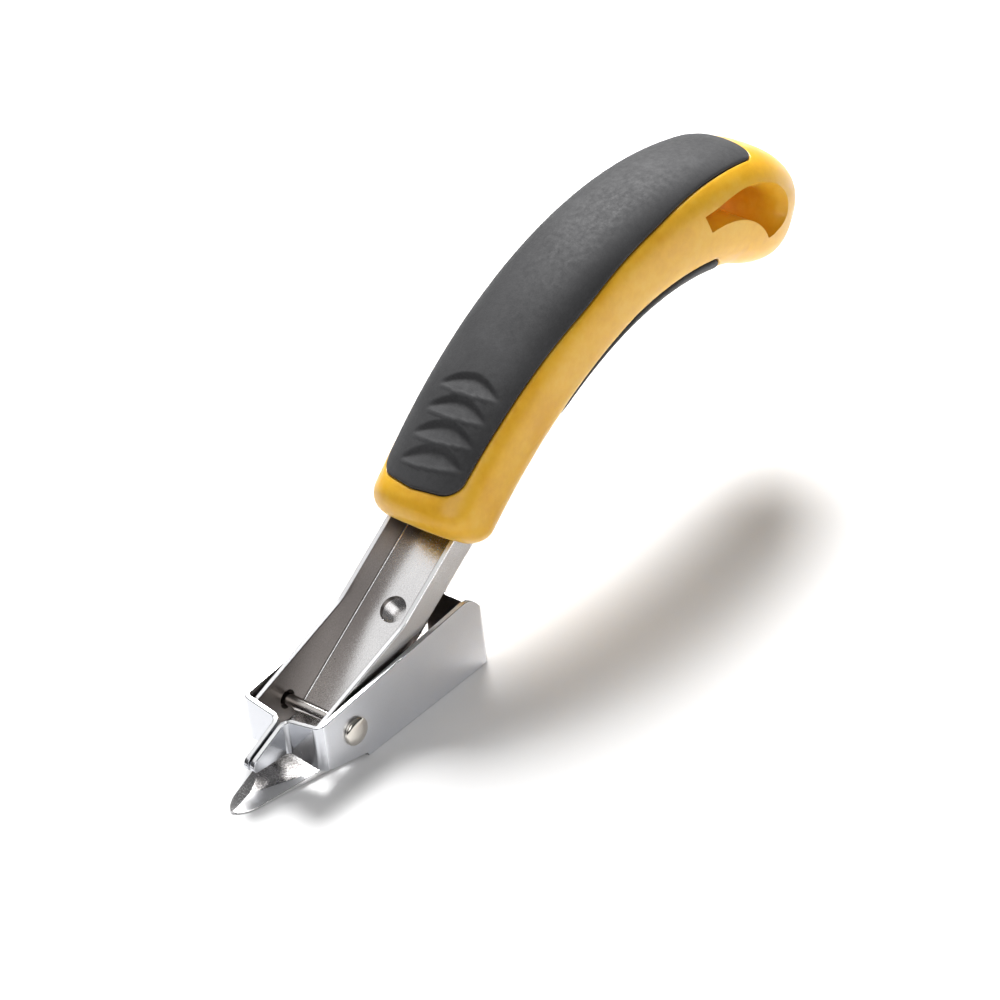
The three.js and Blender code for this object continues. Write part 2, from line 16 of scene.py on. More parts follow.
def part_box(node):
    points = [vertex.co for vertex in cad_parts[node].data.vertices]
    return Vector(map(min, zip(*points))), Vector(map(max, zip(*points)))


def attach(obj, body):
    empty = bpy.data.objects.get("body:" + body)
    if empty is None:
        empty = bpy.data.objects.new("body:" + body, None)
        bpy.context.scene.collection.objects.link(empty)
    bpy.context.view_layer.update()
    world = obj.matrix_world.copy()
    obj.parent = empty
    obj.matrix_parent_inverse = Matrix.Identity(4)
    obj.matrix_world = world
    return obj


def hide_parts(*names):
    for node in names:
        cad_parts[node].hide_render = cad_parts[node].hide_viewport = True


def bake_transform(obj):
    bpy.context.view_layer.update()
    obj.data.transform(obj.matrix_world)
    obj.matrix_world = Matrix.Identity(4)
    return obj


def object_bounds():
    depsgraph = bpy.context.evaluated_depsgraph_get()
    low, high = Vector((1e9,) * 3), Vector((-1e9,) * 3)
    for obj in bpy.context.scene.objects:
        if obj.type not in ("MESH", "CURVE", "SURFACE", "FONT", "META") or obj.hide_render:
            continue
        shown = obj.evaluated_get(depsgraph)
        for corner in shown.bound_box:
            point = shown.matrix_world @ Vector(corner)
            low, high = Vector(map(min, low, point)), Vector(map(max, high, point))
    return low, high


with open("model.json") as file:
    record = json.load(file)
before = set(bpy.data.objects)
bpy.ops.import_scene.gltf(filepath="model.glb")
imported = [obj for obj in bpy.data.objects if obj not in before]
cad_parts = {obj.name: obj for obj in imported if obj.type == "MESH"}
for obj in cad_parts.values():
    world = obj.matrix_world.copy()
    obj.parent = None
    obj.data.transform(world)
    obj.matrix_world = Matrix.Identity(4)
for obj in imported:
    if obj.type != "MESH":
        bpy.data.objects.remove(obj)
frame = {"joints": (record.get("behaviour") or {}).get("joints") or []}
CAD_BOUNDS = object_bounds()

MM = 0.001
PIVOT = Vector(frame["joints"][0]["pos_m"])
SOLE = -PIVOT.z / MM


def in_mm(node):
    """Lowest and highest corner of a CAD node, in millimetres from the rivet's axis."""
    low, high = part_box(node)
    return (low - PIVOT) / MM, (high - PIVOT) / MM


# ---- Sizes that several steel pieces share -------------------------------------------------------
JAW_LOW, JAW_HIGH = in_mm("jaw_frame")
LEVER_HIGH = in_mm("lever_arm")[1]
HEEL_X = JAW_LOW.x
NOSE_TIP_X = JAW_HIGH.x
BEAK_TIP_X = LEVER_HIGH.x
JAW_HALF_WIDTH = JAW_HIGH.y
LEVER_HALF_WIDTH = LEVER_HIGH.y
JAW_FRONT_X = 10.8
NOTCH_X = -2.9
SHEET = 1.3
PIN_RADIUS = 1.5

# ---- Mesh helpers --------------------------------------------------------------------------------
WELD = 1e-7
CUT_WELD = 2e-6
ROUND_STEPS = 3


def put(x, y, z):
    return PIVOT + Vector((x, y, z)) * MM


def smooth(value, low, high):
    """0 below low, 1 above high, eased between."""
    share = min(1.0, max(0.0, (value - low) / (high - low)))
    return share * share * (3 - 2 * share)


def mix(a, b, share):
    return a + (b - a) * share


def new_object(name, points, faces, sharp_degrees):
    """A mesh from millimetre points, welded, with faces outward and edges sharp past an angle."""
    mesh = bpy.data.meshes.new(name)
    mesh.from_pydata([put(*p) for p in points], [], faces)
    work = bmesh.new()
    work.from_mesh(mesh)
    bmesh.ops.remove_doubles(work, verts=work.verts, dist=WELD)
    bmesh.ops.recalc_face_normals(work, faces=work.faces)
    work.to_mesh(mesh)
    work.free()
    obj = bpy.data.objects.new(name, mesh)
    bpy.context.scene.collection.objects.link(obj)
    shade(obj, sharp_degrees)
    return obj


def shade(obj, sharp_degrees):
    obj.data.polygons.foreach_set("use_smooth", [True] * len(obj.data.polygons))
    obj.data.set_sharp_from_angle(angle=math.radians(sharp_degrees))


def loft(name, rings, sharp_degrees=35):
    """A closed skin over rings of equally many points, with a flat face across each end."""
    points = [p for ring in rings for p in ring]
    count = len(rings[0])
    last = len(points) - count
    faces = []
    for first in range(0, last, count):
        for j in range(count):
            k = (j + 1) % count
            faces.append((first + j, first + k, first + count + k, first + count + j))
    faces += [tuple(range(count)), tuple(range(last, len(points)))]
    return new_object(name, points, faces, sharp_degrees)


def flatten_faces(obj):
    """Shades wide flat faces flat, so that a rounded edge doesn't bend the light on them."""
    step = obj.modifiers.new("weighted", "WEIGHTED_NORMAL")
    step.keep_sharp = True
    step.weight = 90
    apply_modifiers(obj)


def apply_modifiers(obj):
    graph = bpy.context.evaluated_depsgraph_get()
    mesh = bpy.data.meshes.new_from_object(obj.evaluated_get(graph))
    obj.modifiers.clear()
    old = obj.data
    obj.data = mesh
    bpy.data.meshes.remove(old)


def combine(obj, other, operation="UNION"):
    """Exact boolean with another closed mesh, which is used up."""
    step = obj.modifiers.new("combine", "BOOLEAN")
    step.object = other
    step.operation = operation
    step.solver = "EXACT"
    apply_modifiers(obj)
    bpy.data.objects.remove(other)
    work = bmesh.new()
    work.from_mesh(obj.data)
    bmesh.ops.remove_doubles(work, verts=work.verts, dist=CUT_WELD)
    bmesh.ops.dissolve_degenerate(work, dist=CUT_WELD / 2, edges=work.edges)
    work.to_mesh(obj.data)
    work.free()


def rounded(corners, steps=8, closed=True):
    """Points of an outline through (x, y, radius) corners, with an arc where there is a radius."""
    out = []
    count = len(corners)
    for i, corner in enumerate(corners):
        here = Vector(corner[:2])
        radius = corner[2] if len(corner) > 2 else 0
        if radius == 0 or (not closed and i in (0, count - 1)):
            out.append(here)
            continue
        back = (Vector(corners[i - 1][:2]) - here).normalized()
        ahead = (Vector(corners[(i + 1) % count][:2]) - here).normalized()
        half = back.angle(ahead) / 2
        centre = here + (back + ahead).normalized() * (radius / math.sin(half))
        start = here + back * (radius / math.tan(half)) - centre
        sweep = (math.pi - 2 * half) * (1 if back.cross(ahead) < 0 else -1)
        for k in range(steps + 1):
            turned = start.copy()
            turned.rotate(Matrix.Rotation(sweep * k / steps, 2))
            out.append(centre + turned)
    return out


def divide(path, longest):
    """The same line, with more points along its straight stretches."""
    out = []
    for a, b in zip(path, path[1:]):
        pieces = max(1, int((b - a).length / longest))
        out += [a.lerp(b, k / pieces) for k in range(pieces)]
    return out + [path[-1]]


def resample(points, spacing, closed=False):
    """Even points along a line, keeping its two ends."""
    line = [Vector(p) for p in points] + ([Vector(points[0])] if closed else [])
    lengths = np.cumsum([0] + [(b - a).length for a, b in zip(line, line[1:])])
    count = max(2, int(round(lengths[-1] / spacing)) + 1)
    places = np.linspace(0, lengths[-1], count)
    columns = [np.interp(places, lengths, [p[k] for p in line]) for k in range(len(line[0]))]
    out = [Vector(c) for c in zip(*columns)]
    return out[:-1] if closed else out


def normals_of(points, closed):
    """Unit normals on the left of a flat line, averaged at each point."""
    count = len(points)
    out = []
    for i in range(count):
        before = points[i - 1] if closed or i else points[0]
        after = points[(i + 1) % count] if closed or i < count - 1 else points[-1]
        along = (points[i] - before).normalized() + (after - points[i]).normalized()
        along.normalize()
        out.append(Vector((-along.y, along.x)))
    return out


def area_sign(points):
    pairs = zip(points, points[1:] + points[:1])
    return 1 if sum(a.x * b.y - b.x * a.y for a, b in pairs) > 0 else -1


def grow(points, distance):
    """A closed outline moved outward by a distance, or inward where it is negative."""
    sign = -area_sign(points)
    return [p + n * (sign * distance) for p, n in zip(points, normals_of(points, True))]


def plate(name, outline, low, high, edge, view="side"):
    """A flat plate with rounded edges. Its outline is (X, Z) seen from the side or (X, Y) seen from
    above, and low and high are its two faces on the third axis."""
    place = {
        "side": lambda p, depth: (p.x, depth, p.y),
        "above": lambda p, depth: (p.x, p.y, depth),
    }[view]
    turns = [math.pi / 2 * k / ROUND_STEPS for k in range(ROUND_STEPS + 1)]
    rims = [(edge * (1 - math.sin(turn)), edge * (1 - math.cos(turn))) for turn in turns]
    lower = [[place(p, low + rise) for p in grow(outline, -inset)] for inset, rise in rims]
    upper = [[place(p, high - rise) for p in grow(outline, -inset)] for inset, rise in reversed(rims)]
    return loft(name, lower + upper, 50)


def bar_section(half_thick, low, high, edge):
    """The rounded cross-section of a sheet standing on edge, as (across, height) points."""
    edge = min(edge, half_thick * 0.95, (high - low) * 0.49)
    corners = [(half_thick, low), (half_thick, high), (-half_thick, high), (-half_thick, low)]
    out = []
    for number, (x, z) in enumerate(corners):
        inner = Vector((x - math.copysign(edge, x), z + (edge if number in (0, 3) else -edge)))
        first = (-90, 0, 90, 180)[number]
        for k in range(ROUND_STEPS + 1):
            turn = math.radians(first + 90 * k / ROUND_STEPS)
            out.append((inner.x + edge * math.cos(turn), inner.y + edge * math.sin(turn)))
    return out


# ---- Jaw frame -----------------------------------------------------------------------------------
JAW_EDGE = 0.28
HEEL_BEND = 1.6
FRONT_BEND = 1.5
NOSE_BEND = 2.0
TAB_END_Y = -6.1
LEFT_REAR_X = -43.4
NOSE_HALF = 1.6
JAW_TOP_FRONT, JAW_TOP_REAR = 7.1, 10.9
JAW_SHOULDER_X, SHOULDER_ROUND = -41.4, 5
TAB_TOP = 5.1
FLANGE_BOTTOM = -5.3
NOSE_ROOT_TOP, NOSE_ROOT_BOTTOM = 5.0, -3.6
NOSE_TIP_Z, NOSE_TIP_RADIUS = -1.0, 1.35
NOSE_TIP_STEPS = 9
NOSE_TIP_LEAST = 0.3
NOSE_START_X = JAW_FRONT_X - 0.4
NOSE_SIDE = NOSE_HALF + 1.6
FLANGE_START_X = JAW_FRONT_X - 2.2
PLATE_END_X = JAW_FRONT_X - 2 * SHEET
PLATE_Y = JAW_HALF_WIDTH - SHEET / 2
NOSE_Y = NOSE_HALF - SHEET / 2
FLANGE_X = JAW_FRONT_X - SHEET / 2
HEEL_MIDDLE_X = HEEL_X + SHEET / 2
STRIP_SPACING = 0.6
SAME_PLACE = 1e-3
RELIEF_DEPTH, RELIEF_ROUND = 0.9, 0.8
# The step in the side plates' underside at the notch, and extra places to sample it at.
NOTCH_BACK, NOTCH_AHEAD, NOTCH_RISE = 0.35, 0.1, 0.95
NOTCH_SAMPLES = (-0.9, -0.6, -NOTCH_BACK, -0.2, -0.05, NOTCH_AHEAD, 0.35, 0.6)

JAW_TOP_LINE = rounded([(HEEL_X, TAB_TOP), (HEEL_X + 0.4, TAB_TOP, 0.6),
                        (JAW_SHOULDER_X, JAW_TOP_REAR, SHOULDER_ROUND),
                        (PLATE_END_X, JAW_TOP_FRONT)], 12, closed=False)
JAW_BOTTOM_LINE = ((HEEL_X, SOLE), (NOTCH_X - NOTCH_BACK, SOLE), (NOTCH_X + NOTCH_AHEAD, SOLE + NOTCH_RISE),
                   (PLATE_END_X, FLANGE_BOTTOM - 0.3))


def height_on(line, x):
    return float(np.interp(x, [p[0] for p in line], [p[1] for p in line]))


def jaw_heights(x, y):
    """Bottom and top of the upright sheet at a plan point."""
    side = abs(y)
    if x > NOSE_START_X and side < NOSE_SIDE:
        share = (x - JAW_FRONT_X) / (NOSE_TIP_X - JAW_FRONT_X)
        share = max(0.0, share)
        top = mix(NOSE_ROOT_TOP, NOSE_TIP_Z + NOSE_TIP_RADIUS, share)
        bottom = mix(NOSE_ROOT_BOTTOM, NOSE_TIP_Z - NOSE_TIP_RADIUS, share)
        left = NOSE_TIP_X - x
        if left < NOSE_TIP_RADIUS:
            drop = NOSE_TIP_RADIUS - math.sqrt(max(0.0, NOSE_TIP_RADIUS**2 - (NOSE_TIP_RADIUS - left) ** 2))
            drop = min(drop, NOSE_TIP_RADIUS - NOSE_TIP_LEAST)
            top, bottom = top - drop, bottom + drop
        return bottom, top
    if x > FLANGE_START_X:
        share = (PLATE_Y - side) / (PLATE_Y - NOSE_Y)
        share = min(1.0, max(0.0, share))
        return mix(FLANGE_BOTTOM, NOSE_ROOT_BOTTOM, share), mix(JAW_TOP_FRONT, NOSE_ROOT_TOP, share)
    return height_on(JAW_BOTTOM_LINE, x), height_on(JAW_TOP_LINE, x)


def jaw_strip(name, side):
    """One bent strip of the jaw: side plate, front flange and half of the nose. The one on the +Y
    side begins with the tab across the heel."""
    if side > 0:
        start = [(HEEL_MIDDLE_X, TAB_END_Y), (HEEL_MIDDLE_X, PLATE_Y, HEEL_BEND)]
    else:
        start = [(LEFT_REAR_X, -PLATE_Y)]
    path = rounded(start + [(FLANGE_X, side * PLATE_Y, FRONT_BEND), (FLANGE_X, side * NOSE_Y, NOSE_BEND),
                            (NOSE_TIP_X, side * NOSE_Y)], 10, closed=False)
    dense = divide(path, STRIP_SPACING)
    on_plate = [abs(p.y - side * PLATE_Y) < SAME_PLACE and p.x < FLANGE_X - FRONT_BEND for p in dense]
    first, length = on_plate.index(True), sum(on_plate)
    before, after = dense[:first], dense[first + length:]
    body = dense[first:first + length] + [Vector((NOTCH_X + p, side * PLATE_Y)) for p in NOTCH_SAMPLES]
    body.sort(key=lambda p: p.x)
    tip = [p for p in after if p.x < NOSE_TIP_X - NOSE_TIP_RADIUS or abs(p.y) > NOSE_Y + 0.01]
    for k in range(1, NOSE_TIP_STEPS + 1):
        turn = math.pi / 2 * k / NOSE_TIP_STEPS
        tip.append(Vector((NOSE_TIP_X - NOSE_TIP_RADIUS * (1 - math.sin(turn)), side * NOSE_Y)))
    line = before + body + tip
    line = [p for i, p in enumerate(line) if i == 0 or (p - line[i - 1]).length > SAME_PLACE]
    rings = []
    for point, normal in zip(line, normals_of(line, False)):
        low, high = jaw_heights(point.x, point.y)
        section = bar_section(SHEET / 2, low, high, JAW_EDGE)
        rings.append([(point.x + normal.x * across, point.y + normal.y * across, height)
                      for across, height in section])
    return loft(name, rings, 40)


def jaw_frame():
    """Both strips and the floor between them, which has a rounded relief beside the tab's end."""
    frame_mesh = jaw_strip("jaw_frame_steel", 1)
    combine(frame_mesh, jaw_strip("left", -1))
    relief_x = LEFT_REAR_X + RELIEF_DEPTH
    near_tab, past_tab = TAB_END_Y + RELIEF_ROUND, TAB_END_Y - 2 * RELIEF_ROUND
    outline = rounded([(LEFT_REAR_X, -PLATE_Y), (NOTCH_X, -PLATE_Y), (NOTCH_X, PLATE_Y),
                       (HEEL_MIDDLE_X, PLATE_Y, HEEL_BEND), (HEEL_MIDDLE_X, near_tab),
                       (relief_x, near_tab, RELIEF_ROUND), (relief_x, past_tab, RELIEF_ROUND),
                       (LEFT_REAR_X, past_tab)])
    combine(frame_mesh, plate("floor", outline, SOLE, SOLE + SHEET, 0.2, "above"))
    shade(frame_mesh, 50)
    flatten_faces(frame_mesh)
    return frame_mesh


# ---- Lever ---------------------------------------------------------------------------------------
LEVER_ANGLE = math.radians(32.2)
LEVER_FLOOR = -5.5
LEVER_WALL_TOP = 1.2
LEVER_KINK_S = 25.5
WALL_EDGE = 0.28
TANG_END_S = 68
FLOOR_HOLE_S, FLOOR_HOLE_RADIUS, FLOOR_HOLE_FLARE = 29.6, 3.3, 0.1
PIN_HOLE_RADIUS, PIN_HOLE_FLARE = 2.3, 0.08
WALL_TIP = Vector((9.15, 5.4))
WALL_TIP_ROUND, WALL_KINK_ROUND = 0.7, 9
WALL_SUNK = 0.22
LOBE_STEPS = 28
BEND_OUTSIDE = 1.8
BEND_STEPS = 12
TROUGH_STEPS = 24
BEAK_BOTTOM = SOLE + 0.1
BEAK_THICK = 1.6
BEAK_ROOT_X, BEAK_ROOT_HALF = 9.4, 7.4
BEAK_CORNER_X, BEAK_CORNER_HALF = 26.3, 3.3
BEAK_RIDGE_X = 23.2
BEAK_RIDGE_LEAST = 0.02
BEAK_STEPS, BEAK_TIP_STEPS = 40, 14
TONGUE_START_S, TONGUE_BEND = 1.5, 3.0


def lever_point(s, h):
    """A point s back along the lever from the rivet and h square to it, as (X, Z)."""
    cos, sin = math.cos(LEVER_ANGLE), math.sin(LEVER_ANGLE)
    return Vector((-s * cos + h * sin, s * sin + h * cos))


def lever_wall_outline():
    """Side view of a wall: the lobe around the rivet, the tang, the kink and the front corner."""
    lobe = -LEVER_FLOOR
    tangent = math.atan2(WALL_TIP.y, WALL_TIP.x) - math.acos(lobe / WALL_TIP.length)
    foot = -math.pi / 2 - LEVER_ANGLE
    turns = [tangent + (foot - tangent) * k / LOBE_STEPS for k in range(LOBE_STEPS + 1)]
    arc = [Vector((lobe * math.cos(a), lobe * math.sin(a))) for a in turns]
    low = LEVER_FLOOR + WALL_SUNK
    tang_top = lever_point(TANG_END_S, LEVER_WALL_TOP)
    back = [lever_point(0.4, low), lever_point(TANG_END_S, low), tang_top]
    kink_corner = (*lever_point(LEVER_KINK_S, LEVER_WALL_TOP), WALL_KINK_ROUND)
    kink = rounded([tang_top, kink_corner, WALL_TIP], 8, closed=False)
    tip = rounded([kink[-2], (*WALL_TIP, WALL_TIP_ROUND), arc[0]], 5, closed=False)
    return arc + back + kink[1:-1] + tip[1:-1]


def lever_base():
    """The floor with its two bends, swept straight along the lever."""
    middle_y = LEVER_HALF_WIDTH - BEND_OUTSIDE
    middle_h = LEVER_FLOOR - SHEET + BEND_OUTSIDE
    top = middle_h + 0.3
    outer, inner = [(LEVER_HALF_WIDTH, top)], [(LEVER_HALF_WIDTH - SHEET, top)]
    for line, radius in ((outer, BEND_OUTSIDE), (inner, BEND_OUTSIDE - SHEET)):
        for k in range(BEND_STEPS + 1):
            turn = -math.pi / 2 * k / BEND_STEPS
            line.append((middle_y + radius * math.cos(turn), middle_h + radius * math.sin(turn)))
    section = outer + [(-y, h) for y, h in reversed(outer)] + [(-y, h) for y, h in inner] + inner[::-1]
    rings = []
    for s in np.linspace(0, TANG_END_S, TROUGH_STEPS):
        rings.append([(lever_point(s, h).x, y, lever_point(s, h).y) for y, h in section])
    return loft("lever_arm_steel", rings, 40)


def beak_half(x):
    """Half-width of the tongue at X."""
    if x < BEAK_ROOT_X:
        return mix(LEVER_HALF_WIDTH - 0.4, BEAK_ROOT_HALF, smooth(x, -TONGUE_START_S, BEAK_ROOT_X))
    straight = mix(BEAK_ROOT_HALF, BEAK_CORNER_HALF, (x - BEAK_ROOT_X) / (BEAK_CORNER_X - BEAK_ROOT_X))
    tip_start = BEAK_CORNER_X - 1.6
    if x < tip_start:
        return straight
    share = (x - tip_start) / (BEAK_TIP_X - tip_start)
    return straight * math.sqrt(max(0.0, 1 - share**2.4)) * 0.86 + straight * 0.14 * (1 - share)


def beak_ridge(x):
    """Distance from the centre line to where the ground bevel starts."""
    if x >= BEAK_RIDGE_X:
        return BEAK_RIDGE_LEAST
    share = (x - BEAK_ROOT_X) / (BEAK_RIDGE_X - BEAK_ROOT_X)
    return mix(BEAK_ROOT_HALF - 0.45, BEAK_RIDGE_LEAST, share)


def beak_edge_height(x):
    """Height of the side face left under the bevel."""
    share = min(1.0, max(0.0, (x - BEAK_ROOT_X) / (BEAK_CORNER_X - BEAK_ROOT_X)))
    return mix(BEAK_THICK - 0.05, 0.3, share**0.8)


def tongue():
    """The lever's front floor, bent level and ground to a two-bevel wedge."""
    middle = LEVER_FLOOR - SHEET / 2
    level = BEAK_BOTTOM + BEAK_THICK / 2
    cos, sin = math.cos(LEVER_ANGLE), math.sin(LEVER_ANGLE)
    bend_x = (middle - level * cos) / sin
    start = lever_point(TONGUE_START_S, middle)
    path = rounded([start, (bend_x, level, TONGUE_BEND), (BEAK_ROOT_X - 0.6, level)], 8, closed=False)
    rings = []
    for point, normal in zip(path, normals_of(path, False)):
        thick = mix(SHEET, BEAK_THICK, smooth(point.x, bend_x, BEAK_ROOT_X))
        half = beak_half(point.x)
        rings.append(tongue_ring(point, normal, half, half - 0.5, thick, thick - 0.05))
    places = list(np.linspace(BEAK_ROOT_X, BEAK_CORNER_X, BEAK_STEPS))
    for k in range(1, BEAK_TIP_STEPS + 1):
        left = 1 - math.sin(math.pi / 2 * k / BEAK_TIP_STEPS)
        places.append(BEAK_TIP_X - (BEAK_TIP_X - BEAK_CORNER_X) * left)
    for x in places:
        half = max(beak_half(x), 0.25)
        thick = BEAK_THICK - smooth(x, BEAK_RIDGE_X, BEAK_TIP_X) * (BEAK_THICK - 0.45)
        ridge = min(beak_ridge(x), half - 0.05)
        edge_height = min(beak_edge_height(x), thick - 0.03)
        rings.append(tongue_ring(Vector((x, level)), Vector((0, 1)), half, ridge, thick, edge_height))
    return loft("tongue", rings, 14)


def tongue_ring(point, normal, half, ridge, thick, edge_height):
    """Cross-section of the tongue: flat bottom, upright sides, two bevels and the flat between."""
    up = Vector((normal.x, normal.y)) if normal.y > 0 else -normal
    soft = 0.14
    right = [(half - soft, 0), (half - soft * 0.3, soft * 0.3), (half, soft),
             (half, max(edge_height - 0.1, soft + 0.02)), (half - 0.1, max(edge_height, soft + 0.05)),
             (ridge, thick), (ridge * 0.5, thick)]
    left = [(-y, h) for y, h in reversed(right)]
    base = point - up * ((thick if point.x < BEAK_ROOT_X else BEAK_THICK) / 2)
    return [(base.x + up.x * h, y, base.y + up.y * h) for y, h in right + [(0, thick)] + left + [(0, 0)]]


def circle(centre, axis, along, radius, steps):
    """Points of a circle around an axis, at a place along it."""
    side = axis.orthogonal().normalized()
    other = axis.cross(side)
    middle = Vector(centre) + axis * along
    turns = [2 * math.pi * k / steps for k in range(steps)]
    return [tuple(middle + (side * math.cos(turn) + other * math.sin(turn)) * radius) for turn in turns]


def round_cutter(radius, centre, direction, length, flare=0.0, surface=0.0):
    """A cylinder used as a cutter, optionally flared where it leaves the two surfaces of a sheet,
    which lie `surface` to either side of its centre."""
    direction = Vector(direction).normalized()
    half = [(length / 2, radius)]
    if flare:
        half = [(surface - flare, radius), (surface - flare * 0.3, radius + flare * 0.3),
                (surface, radius + flare), (length / 2, radius + flare)]
    places = [(-along, size) for along, size in reversed(half)] + half
    return loft("cutter", [circle(centre, direction, along, size, 48) for along, size in places])


def lever_arm():
    """The trough with its two walls and its tongue, drilled for the rivet and through the floor."""
    arm = lever_base()
    outline = lever_wall_outline()
    outer, inner = LEVER_HALF_WIDTH, LEVER_HALF_WIDTH - SHEET
    combine(arm, plate("wall", outline, inner, outer, WALL_EDGE))
    combine(arm, plate("wall", outline, -outer, -inner, WALL_EDGE))
    combine(arm, tongue())
    surface = SHEET / 2 + 0.02
    for side in (-1, 1):
        centre = (0, side * (LEVER_HALF_WIDTH - SHEET / 2), 0)
        drill = round_cutter(PIN_HOLE_RADIUS, centre, (0, 1, 0), 4, PIN_HOLE_FLARE, surface)
        combine(arm, drill, "DIFFERENCE")
    hole = lever_point(FLOOR_HOLE_S, LEVER_FLOOR - SHEET / 2)
    up = lever_point(0, 1)
    centre, direction = (hole.x, 0, hole.y), (up.x, 0, up.y)
    drill = round_cutter(FLOOR_HOLE_RADIUS, centre, direction, 6, FLOOR_HOLE_FLARE, surface)
    combine(arm, drill, "DIFFERENCE")
    shade(arm, 9.5)
    flatten_faces(arm)
    return arm


# ---- Rivets and spring ---------------------------------------------------------------------------
DOME_STEPS = 12
SMALL_DOME_STEPS = 8
SMALL_DOME = 0.8
SPRING_SHEET = 0.6
SPRING_BEND = 1.4
SPRING_TIP_S = 22


def turned(name, profile, centre, axis, steps=64):
    """A turned piece: profile points are (radius, place along the axis)."""
    rings = [circle(centre, Vector(axis), along, max(radius, 0.02), steps) for radius, along in profile]
    return loft(name, rings, 40)


def pivot_rivet():
    """The pin and its two domed heads, which sit just clear of the jaw's side plates."""
    corner = in_mm("pivot_rivet")[1]
    end, head = corner.y, corner.z
    under = JAW_HALF_WIDTH + 0.05
    rim = under + 0.3
    right = [(PIN_RADIUS, under), (head - 0.12, under), (head, under + 0.1), (head, rim)]
    for k in range(1, DOME_STEPS + 1):
        turn = math.pi / 2 * k / DOME_STEPS
        right.append((head * math.cos(turn), rim + (end - rim) * math.sin(turn) ** 0.8))
    shank = [(PIN_RADIUS, y) for y in np.linspace(-under + 0.5, under - 0.5, 8)]
    left = [(r, -y) for r, y in reversed(right)]
    return turned("pivot_rivet_steel", left + shank + right, (0, 0, 0), (0, 1, 0))


def spring_rivet():
    low, high = in_mm("spring_rivet")
    middle = (low + high) / 2
    head = (high.x - low.x) / 2
    shank = PIN_RADIUS - 0.3
    rim = high.z - SMALL_DOME
    profile = [(0, low.z), (shank, low.z), (shank, rim - 0.1), (head, rim - 0.1)]
    for k in range(1, SMALL_DOME_STEPS + 1):
        turn = math.pi / 2 * k / SMALL_DOME_STEPS
        profile.append((head * math.cos(turn), rim + SMALL_DOME * math.sin(turn)))
    return turned("spring_rivet_steel", profile, (middle.x, 0, 0), (0, 0, 1), 40)


def return_spring():
    """The bent leaf, with the places in metres where its free arm starts and ends."""
    low, high = in_mm("return_spring")
    lower = low.z + SPRING_SHEET / 2
    upper = LEVER_FLOOR - SHEET - 0.3 - SPRING_SHEET / 2
    corner_x = (upper - lower * math.cos(LEVER_ANGLE)) / math.sin(LEVER_ANGLE)
    tip = lever_point(SPRING_TIP_S, upper)
    path = rounded([(low.x, lower), (corner_x - 0.5, lower, SPRING_BEND), tuple(tip)], 12, closed=False)
    dense = divide(path, 0.8)
    half = (high.y - low.y) / 2
    section = bar_section(SPRING_SHEET / 2, -half, half, 0.15)
    rings = []
    for point, normal in zip(dense, normals_of(dense, False)):
        rings.append([(point.x + normal.x * t, y, point.y + normal.y * t) for t, y in section])
    leaf = loft("return_spring_steel", rings, 40)
    rivet_low, rivet_high = in_mm("spring_rivet")
    centre = (rivet_low.x + rivet_high.x) / 2
    combine(leaf, round_cutter(PIN_RADIUS, (centre, 0, lower), (0, 0, 1), 2), "DIFFERENCE")
    shade(leaf, 35)
    return leaf, put(corner_x, 0, lower + 1.2), put(tip.x, 0, tip.y)


# ---- Handle --------------------------------------------------------------------------------------
HANDLE_CURVE = [Vector(p) for p in ((-41.1, 25.7), (-76.8, 58.8), (-126.8, 76.3), (-171.8, 45.2))]
HALF_HEIGHT = (11.2, 13.6, 15.3)
HALF_WIDTH = (14.4, 14.8, 15.8)
ROUNDNESS = 2.6
TAIL_ROUND = 0.177
TAIL_ROUNDNESS = 2.6
TAIL_DROOP = 3.1
RIM_RADIUS = 5.6
RIM_LEAN = 0.12
LEAN_LENGTH = 0.2
GRIP_DEPTH = 1.8
GRIP_PROUD = 0.3
PROBE = 2e-3
TURN_STEPS = 112
RIM_STEPS, BODY_STEPS, TAIL_STEPS = 8, 130, 48


def between(values, t):
    """The value at t on the curve through the values at the front, the middle and the tail."""
    front, middle, tail = values
    return front * (1 - t) * (1 - 2 * t) + middle * 4 * t * (1 - t) + tail * t * (2 * t - 1)


def centre_line(t):
    a, b, c, d = HANDLE_CURVE
    u = 1 - t
    return a * u**3 + b * (3 * u * u * t) + c * (3 * u * t * t) + d * t**3


def centre_speed(t):
    a, b, c, d = HANDLE_CURVE
    u = 1 - t
    return (b - a) * (3 * u * u) + (c - b) * (6 * u * t) + (d - c) * (3 * t * t)


RIM_T = RIM_RADIUS / centre_speed(0).length


def tail_shrink(t):
    """How far into the rounded tail t is, and what share of its full section is left there."""
    tail = max(0.0, 1 - (1 - t) / TAIL_ROUND)
    return tail, max(1e-4, 1 - tail**TAIL_ROUNDNESS) ** (1 / TAIL_ROUNDNESS)


def skin(t, turn):
    """A point on the handle's skin at t along it and turn around it."""
    centre = centre_line(t)
    along = centre_speed(t).normalized()
    power = 2 / ROUNDNESS
    cos, sin = math.cos(turn), math.sin(turn)
    across = math.copysign(abs(cos) ** power, cos)
    up = math.copysign(abs(sin) ** power, sin)
    tail, shrink = tail_shrink(t)
    rim = max(0.0, 1 - t / RIM_T)
    inset = RIM_RADIUS * (1 - math.sqrt(max(0.0, 1 - rim * rim)))
    height = (between(HALF_HEIGHT, t) * shrink - inset) * up - TAIL_DROOP * tail
    width = (between(HALF_WIDTH, t) * shrink - inset) * across
    lean = -RIM_LEAN * height * max(0.0, 1 - t / LEAN_LENGTH) ** 2
    return Vector((centre.x + along.y * height + along.x * lean, width,
                   centre.y - along.x * height + along.y * lean))


